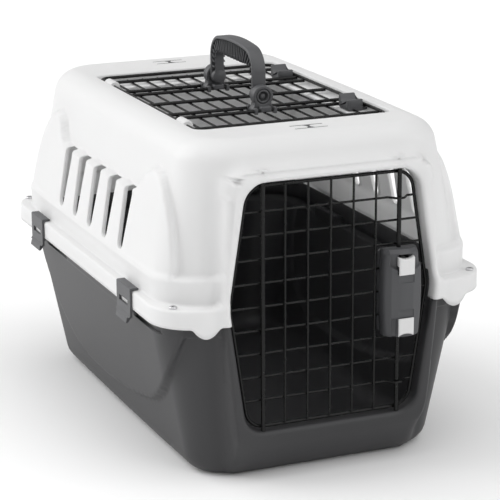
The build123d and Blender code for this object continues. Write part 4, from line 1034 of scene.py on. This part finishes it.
def latch_front(x, z):
    """Depth of the housing's front above its back at (x, z): crowned facets, a set-back head above a curved ledge,
    channels for the buttons and a hollow beside the lower one."""
    u = x / latch_half(z)
    depth = np.interp(u, (-1, -0.95, -0.74, -0.20, 0.36, 0.84, 0.96, 1),
                      (12.0, 14.5, 20.6, 24.6, 25, 21.2, 18, 15))
    depth = depth - 1.6 * ((z - LATCH_Z) / 50) ** 2
    ledge = 230.5 + 7 * np.abs(u - 0.1) ** 2
    head = step_up((z - ledge) / 1.6) * step_up((u + 0.80) / 0.06)
    depth = depth - 4.6 * head
    depth = depth - np.maximum(z - 249.5, 0) * 0.9 - np.maximum(156 - z, 0) * 0.8
    hollow = step_up((177 - z) / 1.5) * step_up((u + 0.74) / 0.05) * step_up((-0.44 - u) / 0.04)
    depth = depth - 3.2 * hollow
    across = step_up((10.0 - np.abs(x)) / 0.3)
    upper = across * step_up((z - 217.2) / 0.3) * step_up((246.0 - z) / 0.3)
    deep = across * step_up((z - 227.2) / 0.3) * step_up((249.0 - z) / 0.3)
    lower = across * step_up((z - 152) / 0.3) * step_up((186.2 - z) / 0.3)
    depth = np.where(upper > 0, np.minimum(depth, 25 - 1.9 * upper), depth)
    depth = np.where(deep > 0, np.minimum(depth, 25 - 7.6 * deep), depth)
    return np.where(lower > 0, np.minimum(depth, 25 - 2.0 * lower), depth)


def build_latch_housing():
    """Hollow front of the latch: the front surface and its copy 2.2 mm further in, joined round the edge and round
    two slots for the buttons' stems."""
    half_lines = [0, 3.2, 6.6, 6.8, 8.4, 9.65, 9.75, 9.9, 10.0, 10.1, 11.5, 13, 14.5, 15.4, 16, 16.6, 17.2, 18, 19,
                  20, 21, 21.6, 22.1, 22.5]
    xs = np.array([-v for v in half_lines[:0:-1]] + half_lines)
    marks = [154, 154.6, 155.5, 157, 159.9, 160.1, 165, 170, 174, 175.5, 176, 176.4, 176.6, 177, 178, 182,
             185.8, 185.95, 186.1, 186.25, 190, 195, 200, 205, 210, 214, 217.15, 217.3, 217.45, 217.6, 220, 222.5]
    zs = np.concatenate((marks, [224, 225.5, 226.6, 227, 227.2, 227.35, 227.5], np.linspace(228, 240, 25),
                         [242, 244, 245.6, 245.8, 246, 246.2, 248.6, 248.8, 249, 249.2, 250, 251, 252, 253, 253.6,
                          254]))
    x, z = np.meshgrid(xs, zs)
    x = x + np.sign(x) * (latch_half(z) - LATCH_HALF) * np.clip((np.abs(x) - 12) / 10.5, 0, 1)
    front = latch_front(x, z)
    layers = []
    for inset in (0.0, 2.0):
        px = x * (1 - inset / LATCH_HALF * np.clip((np.abs(x) - 11) / 5, 0, 1))
        pz = z + np.clip((LATCH_FOOT + 3 - z) / 3, 0, 1) * inset - np.clip((z - LATCH_TOP + 3) / 3, 0, 1) * inset
        layers.append(np.stack((ROD_X + px, LATCH_BACK_Y - front + inset, pz), -1))
    skin = Skin()
    out, inn = skin.add(layers[0]), skin.add(layers[1])
    keep = np.ones((len(zs) - 1, len(xs) - 1), bool)
    i0, i1 = np.searchsorted(xs, (-6.7, 6.7))
    i1 = i1 - 1
    slots = [(np.searchsorted(zs, 227.0), np.searchsorted(zs, 248.7)),
             (np.searchsorted(zs, 160.0), np.searchsorted(zs, 176.5))]
    for j0, j1 in slots:
        keep[j0:j1, i0:i1] = False
    skin.quads(out, keep=keep)
    skin.quads(inn, flip=True, keep=keep)

    def loop(index, j0, j1, a, b):
        return np.concatenate((index[j0, a:b], index[j0:j1, b], index[j1, a + 1:b + 1][::-1],
                               index[j0 + 1:j1 + 1, a][::-1]))
    for j0, j1 in slots:
        skin.quads(np.stack((loop(out, j0, j1, i0, i1), loop(inn, j0, j1, i0, i1))), True)
    last_j, last_i = len(zs) - 1, len(xs) - 1
    edge_out, edge_in = loop(out, 0, last_j, 0, last_i), loop(inn, 0, last_j, 0, last_i)
    points = np.concatenate(skin.points)
    back_out, back_in = points[edge_out].copy(), points[edge_in].copy()
    back_out[:, 1] = LATCH_BACK_Y
    back_in[:, 1] = LATCH_BACK_Y
    skin.quads(np.stack((skin.add(back_in), skin.add(back_out))), True)
    inner_wall, outer_wall = skin.count - 2 * len(edge_out), skin.count - len(edge_out)
    back_in_index = np.arange(inner_wall, outer_wall)
    back_out_index = np.arange(outer_wall, skin.count)
    skin.quads(np.stack((edge_out, back_out_index)), True, True)
    skin.quads(np.stack((edge_in, back_in_index)), True)
    return skin


def build_latch_button(z, way, hollow):
    """A button: a plate with one hollowed end that rides on the housing, thicker towards that end when hollow is
    deep, and the stem behind it that holds the lock rod."""
    half_w, half_h = 9.5, 10.4
    us, vs = np.linspace(-1, 1, 25), np.linspace(-1, 1, 33)
    u, v = np.meshgrid(us, vs)
    x = half_w * u
    dip = 2.6 * (1 - u ** 2)
    height = z + half_h * v * way - way * dip * np.clip((v - 0.2) / 0.8, 0, 1)
    crown = 0.9 * np.maximum(np.abs(u) - 0.86, 0) / 0.14 + 0.7 * np.maximum(np.abs(v) - 0.93, 0) / 0.07
    scoop = 2.2 * np.exp(-((v - 1.0) / 0.10) ** 2)
    front = BUTTON_FRONT_Y + crown + scoop * 0.6
    back = np.where((v > -0.05) & hollow, BUTTON_DEEP_Y, BUTTON_BACK_Y)
    front = np.minimum(front, back - 0.4)
    faces_front = np.stack((ROD_X + x, front, height), -1)
    faces_back = np.stack((ROD_X + x, back, height), -1)
    skin = Skin()
    a, b = skin.add(faces_front), skin.add(faces_back)
    turned = way < 0
    skin.quads(a, flip=turned)
    skin.quads(b, flip=not turned)

    def border(index):
        return np.concatenate((index[0, :-1], index[:-1, -1], index[-1, 1:][::-1], index[1:, 0][::-1]))
    skin.quads(np.stack((border(b), border(a))), True, turned)
    stem_z = z + 2.4 * way
    stem = block(ROD_X - 6.2, ROD_X + 6.2, -297.0, LATCH_BACK_Y - 0.6, stem_z - 3.4, stem_z + 3.4, 0.6)
    return gather([(np.concatenate(skin.points), skin.faces), stem])


# ---------------------------------------------------------------- finishes

BUMP_DEPTH = 0.0002


def new_material(name):
    """A material with nodes, and its main shader."""
    material = bpy.data.materials.new(name)
    material.use_nodes = True
    return material, material.node_tree.nodes["Principled BSDF"]


def add_node(material, kind, **values):
    """A shader node with the given input values; an underscore in a name stands for a space."""
    node = material.node_tree.nodes.new(kind)
    for name, value in values.items():
        node.inputs[name.replace("_", " ")].default_value = value
    return node


def add_noise(material, scale, detail=2):
    """Noise in the object's own coordinates."""
    place = add_node(material, "ShaderNodeTexCoord")
    noise = add_node(material, "ShaderNodeTexNoise", Scale=scale, Detail=detail)
    material.node_tree.links.new(place.outputs["Object"], noise.inputs["Vector"])
    return noise


def add_bump(material, shader, noise, strength):
    """Fine relief from a noise."""
    bump = add_node(material, "ShaderNodeBump", Strength=strength, Distance=BUMP_DEPTH)
    material.node_tree.links.new(noise.outputs["Fac"], bump.inputs["Height"])
    material.node_tree.links.new(bump.outputs["Normal"], shader.inputs["Normal"])


def vary_roughness(material, shader, noise, low, high):
    """Roughness between low and high that follows a noise."""
    reach = add_node(material, "ShaderNodeMapRange", To_Min=low, To_Max=high)
    material.node_tree.links.new(noise.outputs["Fac"], reach.inputs["Value"])
    material.node_tree.links.new(reach.outputs["Result"], shader.inputs["Roughness"])


def moulded_plastic(name, colour, roughness, grain=0.25, mottling=0.03, glow=0.0):
    """Satin moulded plastic: an even colour with faint mottling, a fine leather-like grain as bump, and a share of
    light let through where the wall is thin and pale."""
    material, shader = new_material(name)
    nodes, links = material.node_tree.nodes, material.node_tree.links
    broad = add_noise(material, 14, 4)
    ramp = nodes.new("ShaderNodeMix")
    ramp.data_type = "RGBA"
    ramp.inputs["A"].default_value = [c * (1 - mottling) for c in colour[:3]] + [1]
    ramp.inputs["B"].default_value = [min(1, c * (1 + mottling)) for c in colour[:3]] + [1]
    links.new(broad.outputs["Fac"], ramp.inputs["Factor"])
    links.new(ramp.outputs["Result"], shader.inputs["Base Color"])
    add_bump(material, shader, add_noise(material, 900, 3), grain)
    shader.inputs["Roughness"].default_value = roughness
    shader.inputs["Specular IOR Level"].default_value = 0.4
    if glow:
        through = add_node(material, "ShaderNodeBsdfTranslucent", Color=(0.92, 0.92, 0.92, 1))
        mix = add_node(material, "ShaderNodeMixShader", Fac=glow)
        links.new(shader.outputs["BSDF"], mix.inputs[1])
        links.new(through.outputs["BSDF"], mix.inputs[2])
        links.new(mix.outputs["Shader"], nodes["Material Output"].inputs["Surface"])
    return material


def coated_wire(name, colour):
    """Black coated wire: smooth coat with slight unevenness."""
    material, shader = new_material(name)
    noise = add_noise(material, 260)
    vary_roughness(material, shader, noise, 0.20, 0.32)
    add_bump(material, shader, noise, 0.15)
    shader.inputs["Specular IOR Level"].default_value = 0.22
    shader.inputs["Base Color"].default_value = (*colour[:3], 1)
    return material


def zinc_plate(name):
    """Zinc plated steel with fine brushing."""
    material, shader = new_material(name)
    vary_roughness(material, shader, add_noise(material, 420), 0.28, 0.5)
    shader.inputs["Base Color"].default_value = (0.62, 0.62, 0.63, 1)
    shader.inputs["Metallic"].default_value = 1.0
    return material


MATERIALS = {}


def finish(name):
    """The finish of that name, made on first use from the colours in the settings."""
    if name in MATERIALS:
        return MATERIALS[name]
    c = bpy.context.scene.carrier_colours
    makers = {
        "white_shell": lambda: moulded_plastic("white_shell", c.upper_shell, 0.42, 0.10, 0.01, 0.28),
        "dark_shell": lambda: moulded_plastic("dark_shell", c.lower_shell, 0.46, 0.30),
        "grey_fitting": lambda: moulded_plastic("grey_fitting", c.fittings, 0.45, 0.2),
        "latch": lambda: moulded_plastic("latch", c.latch, 0.42, 0.2),
        "button": lambda: moulded_plastic("button", c.buttons, 0.4, 0.1),
        "black_wire": lambda: coated_wire("black_wire", c.wire),
        "zinc": lambda: zinc_plate("zinc"),
    }
    MATERIALS[name] = makers[name]()
    return MATERIALS[name]


# ---------------------------------------------------------------- settings

class CarrierShellSettings(bpy.types.PropertyGroup):
    wall: FloatProperty(name="Wall", description="Wall thickness of both shells", default=0.003, min=0.0015,
                        max=0.005, unit="LENGTH")
    rim_radius: FloatProperty(name="Doorway rim", description="Rounding of the doorway's front edge", default=0.005,
                              min=0.002, max=0.008, unit="LENGTH")
    vent_pitch: FloatProperty(name="Vent pitch", description="Distance between side vents", default=0.053,
                              unit="LENGTH")
    vent_height: FloatProperty(name="Vent height", description="Height of a side vent", default=0.07, unit="LENGTH")
    vent_top: FloatProperty(name="Vent top", description="Width of a vent at its top", default=0.026, unit="LENGTH")
    vent_foot: FloatProperty(name="Vent foot", description="Width of a vent at its foot", default=0.0145,
                             unit="LENGTH")


class CarrierColourSettings(bpy.types.PropertyGroup):
    upper_shell: FloatVectorProperty(name="Upper shell", description="Colour of the upper shell", subtype="COLOR",
                                     default=(0.88, 0.88, 0.88))
    lower_shell: FloatVectorProperty(name="Lower shell", description="Colour of the lower shell", subtype="COLOR",
                                     default=(0.034, 0.034, 0.036))
    fittings: FloatVectorProperty(name="Fittings", description="Colour of clips, handle and brackets",
                                  subtype="COLOR", default=(0.078, 0.079, 0.083))
    latch: FloatVectorProperty(name="Latch", description="Colour of the door latch", subtype="COLOR",
                               default=(0.066, 0.067, 0.071))
    buttons: FloatVectorProperty(name="Buttons", description="Colour of the latch buttons", subtype="COLOR",
                                 default=(0.66, 0.66, 0.66))
    wire: FloatVectorProperty(name="Wire", description="Colour of the coated wire", subtype="COLOR",
                              default=(0.006, 0.006, 0.006))


class CarrierStageSettings(bpy.types.PropertyGroup):
    azimuth: FloatProperty(name="Azimuth", description="Camera's turn about the carrier",
                           default=math.radians(-23.01), subtype="ANGLE")
    elevation: FloatProperty(name="Elevation", description="Camera's height angle", default=math.radians(15.91),
                             subtype="ANGLE")
    roll: FloatProperty(name="Roll", description="Camera's turn about its own axis", default=math.radians(-0.26),
                        subtype="ANGLE")
    distance: FloatProperty(name="Distance", description="Camera to the point it looks at", default=2.4977,
                            unit="LENGTH")
    lens: FloatProperty(name="Lens", description="Focal length on a 36 mm sensor", default=146.04, unit="CAMERA")


# ---------------------------------------------------------------- operators

SUNS = [("left_light", -125, 28, 2.0), ("front_light", 38, 28, 0.85), ("top_light", 0, 80, 1.0)]
SUN_ANGLE = math.radians(60)
WORLD_STRENGTH = 0.46
FLOOR_REACH = 12.0
CAMERA_TARGET = Vector((19.7, SHIFT_Y, 185.4)) / 1000
SENSOR_WIDTH = 36.0


def direction(azimuth, height):
    """Unit vector away from the carrier; azimuth 0 is in front of the door."""
    return Vector((math.sin(azimuth) * math.cos(height), -math.cos(azimuth) * math.cos(height), math.sin(height)))


class CARRIER_OT_upper_shell(bpy.types.Operator):
    """Builds the white upper shell"""
    bl_idname = "carrier.upper_shell"
    bl_label = "Upper shell"

    def execute(self, context):
        skin = build_upper_skin()
        points, faces = gather([(np.concatenate(skin.points), skin.faces), *build_lugs()])
        mesh_object("upper_shell_skin", points, faces, "carrier", finish("white_shell"),
                    ["upper_shell"])
        # dark inlays flush with the roof: painted shade where the strap slots open, no slot is cut
        points, faces = build_strap_slot_painted_shade()
        mesh_object("strap_slot_painted_shade", points, faces, "carrier", finish("grey_fitting"))
        return {"FINISHED"}


class CARRIER_OT_lower_shell(bpy.types.Operator):
    """Builds the dark lower shell"""
    bl_idname = "carrier.lower_shell"
    bl_label = "Lower shell"

    def execute(self, context):
        skin = build_lower_skin()
        points, faces = gather([(np.concatenate(skin.points), skin.faces), build_rim()])
        mesh_object("lower_shell_skin", points, faces, "carrier", finish("dark_shell"),
                    ["lower_shell"])
        return {"FINISHED"}


class CARRIER_OT_handle(bpy.types.Operator):
    """Builds the folding handle and its two brackets"""
    bl_idname = "carrier.handle"
    bl_label = "Handle"

    def execute(self, context):
        points, faces = build_handle()
        mesh_object("carry_handle_skin", points, faces, "handle", finish("grey_fitting"), ["carry_handle"])
        for name, side in (("front", -1), ("rear", 1)):
            points, faces = build_bracket(side)
            mesh_object(f"handle_bracket_{name}_skin", points, faces, "top_door", finish("grey_fitting"),
                        [f"handle_bracket_{name}"])
            points, faces = build_top_latch(side)
            mesh_object(f"top_latch_{name}_skin", points, faces, f"{name}_top_latch", finish("grey_fitting"),
                        [f"top_latch_{name}"])
        return {"FINISHED"}


class CARRIER_OT_door_latch(bpy.types.Operator):
    """Builds the latch housing and its two buttons"""
    bl_idname = "carrier.door_latch"
    bl_label = "Door latch"

    def execute(self, context):
        skin = build_latch_housing()
        mesh_object("latch_housing_skin", np.concatenate(skin.points), skin.faces, "front_door", finish("latch"),
                    ["latch_housing"])
        for name, z, way in (("upper", 237.2, 1), ("lower", 166.2, -1)):
            points, faces = build_latch_button(z, way, way > 0)
            mesh_object(f"{name}_latch_button_skin", points, faces, f"{name}_lock", finish("button"),
                        [f"{name}_latch_button"])
        return {"FINISHED"}


class CARRIER_OT_carried_over(bpy.types.Operator):
    """Gives the pieces that keep their own mesh their finish"""
    bl_idname = "carrier.carried_over"
    bl_label = "Carried-over pieces"

    def execute(self, context):
        finishes = {
            "front_door_grille": "black_wire", "hinge_rod": "black_wire", "upper_lock_rod": "black_wire",
            "lower_lock_rod": "black_wire", "top_door_grille": "black_wire",
            "latch_back": "latch", "upper_latch_spring": "zinc", "lower_latch_spring": "zinc",
            "corner_screws": "zinc", "corner_nuts": "zinc", "side_clip_left_front": "grey_fitting",
            "side_clip_left_rear": "grey_fitting", "side_clip_right_front": "grey_fitting",
            "side_clip_right_rear": "grey_fitting"}
        for node, name in finishes.items():
            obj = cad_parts[node]
            obj.data.materials.clear()
            obj.data.materials.append(finish(name))
        return {"FINISHED"}


class CARRIER_OT_stage(bpy.types.Operator):
    """Builds the floor, the lights and the camera"""
    bl_idname = "carrier.stage"
    bl_label = "Stage"

    def execute(self, context):
        s = context.scene.carrier_stage
        floor_mesh = bpy.data.meshes.new("floor")
        size = FLOOR_REACH
        floor_mesh.from_pydata([(-size, -size, 0), (size, -size, 0), (size, size, 0), (-size, size, 0)], [],
                               [(0, 1, 2, 3)])
        floor = bpy.data.objects.new("floor", floor_mesh)
        context.scene.collection.objects.link(floor)
        material, shader = new_material("pale_floor")
        shader.inputs["Base Color"].default_value = (0.93, 0.93, 0.93, 1)
        shader.inputs["Roughness"].default_value = 0.9
        floor.data.materials.append(material)
        world = bpy.data.worlds.new("studio")
        world.use_nodes = True
        world.node_tree.nodes["Background"].inputs["Color"].default_value = (1, 1, 1, 1)
        world.node_tree.nodes["Background"].inputs["Strength"].default_value = WORLD_STRENGTH
        context.scene.world = world
        context.scene.view_settings.view_transform = "Standard"
        for name, azimuth, height, strength in SUNS:
            soft_sun(name, azimuth, height, strength)
        self.place_camera(context, s)
        return {"FINISHED"}

    def place_camera(self, context, s):
        back = direction(s.azimuth, s.elevation)
        camera = bpy.data.cameras.new("camera")
        camera.lens = s.lens
        camera.sensor_width = SENSOR_WIDTH
        camera.clip_start, camera.clip_end = 0.05, 60
        obj = bpy.data.objects.new("camera", camera)
        context.scene.collection.objects.link(obj)
        turn = (-back).to_track_quat("-Z", "Y").to_matrix() @ Matrix.Rotation(s.roll, 3, "Z")
        obj.matrix_world = Matrix.Translation(CAMERA_TARGET + back * s.distance) @ turn.to_4x4()
        context.scene.camera = obj


def soft_sun(name, azimuth, height, strength):
    """A broad, even light from far away; azimuth 0 is in front of the door and -90 at the left."""
    light = bpy.data.lights.new(name, "SUN")
    light.energy = strength
    light.angle = SUN_ANGLE
    obj = bpy.data.objects.new(name, light)
    bpy.context.scene.collection.objects.link(obj)
    way = direction(math.radians(azimuth), math.radians(height))
    obj.matrix_world = Matrix.Translation(way * 5) @ way.to_track_quat("Z", "Y").to_matrix().to_4x4()


class CARRIER_PT_panel(bpy.types.Panel):
    """Lists the carrier's settings and builders"""
    bl_idname = "CARRIER_PT_panel"
    bl_label = "Pet Carrier"
    bl_space_type = "VIEW_3D"
    bl_region_type = "UI"
    bl_category = "Carrier"

    def draw(self, context):
        for group in (context.scene.carrier_shell, context.scene.carrier_colours, context.scene.carrier_stage):
            for name in group.__annotations__:
                self.layout.prop(group, name)
        for operator in OPERATORS:
            self.layout.operator(operator.bl_idname)


GROUPS = {"carrier_shell": CarrierShellSettings, "carrier_colours": CarrierColourSettings,
          "carrier_stage": CarrierStageSettings}
OPERATORS = [CARRIER_OT_upper_shell, CARRIER_OT_lower_shell, CARRIER_OT_handle, CARRIER_OT_door_latch,
             CARRIER_OT_carried_over, CARRIER_OT_stage]


def register():
    for cls in (*GROUPS.values(), *OPERATORS, CARRIER_PT_panel):
        bpy.utils.register_class(cls)
    for name, cls in GROUPS.items():
        setattr(bpy.types.Scene, name, PointerProperty(type=cls))


def unregister():
    for name in GROUPS:
        delattr(bpy.types.Scene, name)
    for cls in (CARRIER_PT_panel, *reversed(OPERATORS), *GROUPS.values()):
        bpy.utils.unregister_class(cls)


def main():
    register()
    for operator in OPERATORS:
        group, name = operator.bl_idname.split(".")
        if getattr(getattr(bpy.ops, group), name)() != {"FINISHED"}:
            raise RuntimeError(f"{operator.bl_idname} did not finish")


if __name__ == "__main__":
    main()
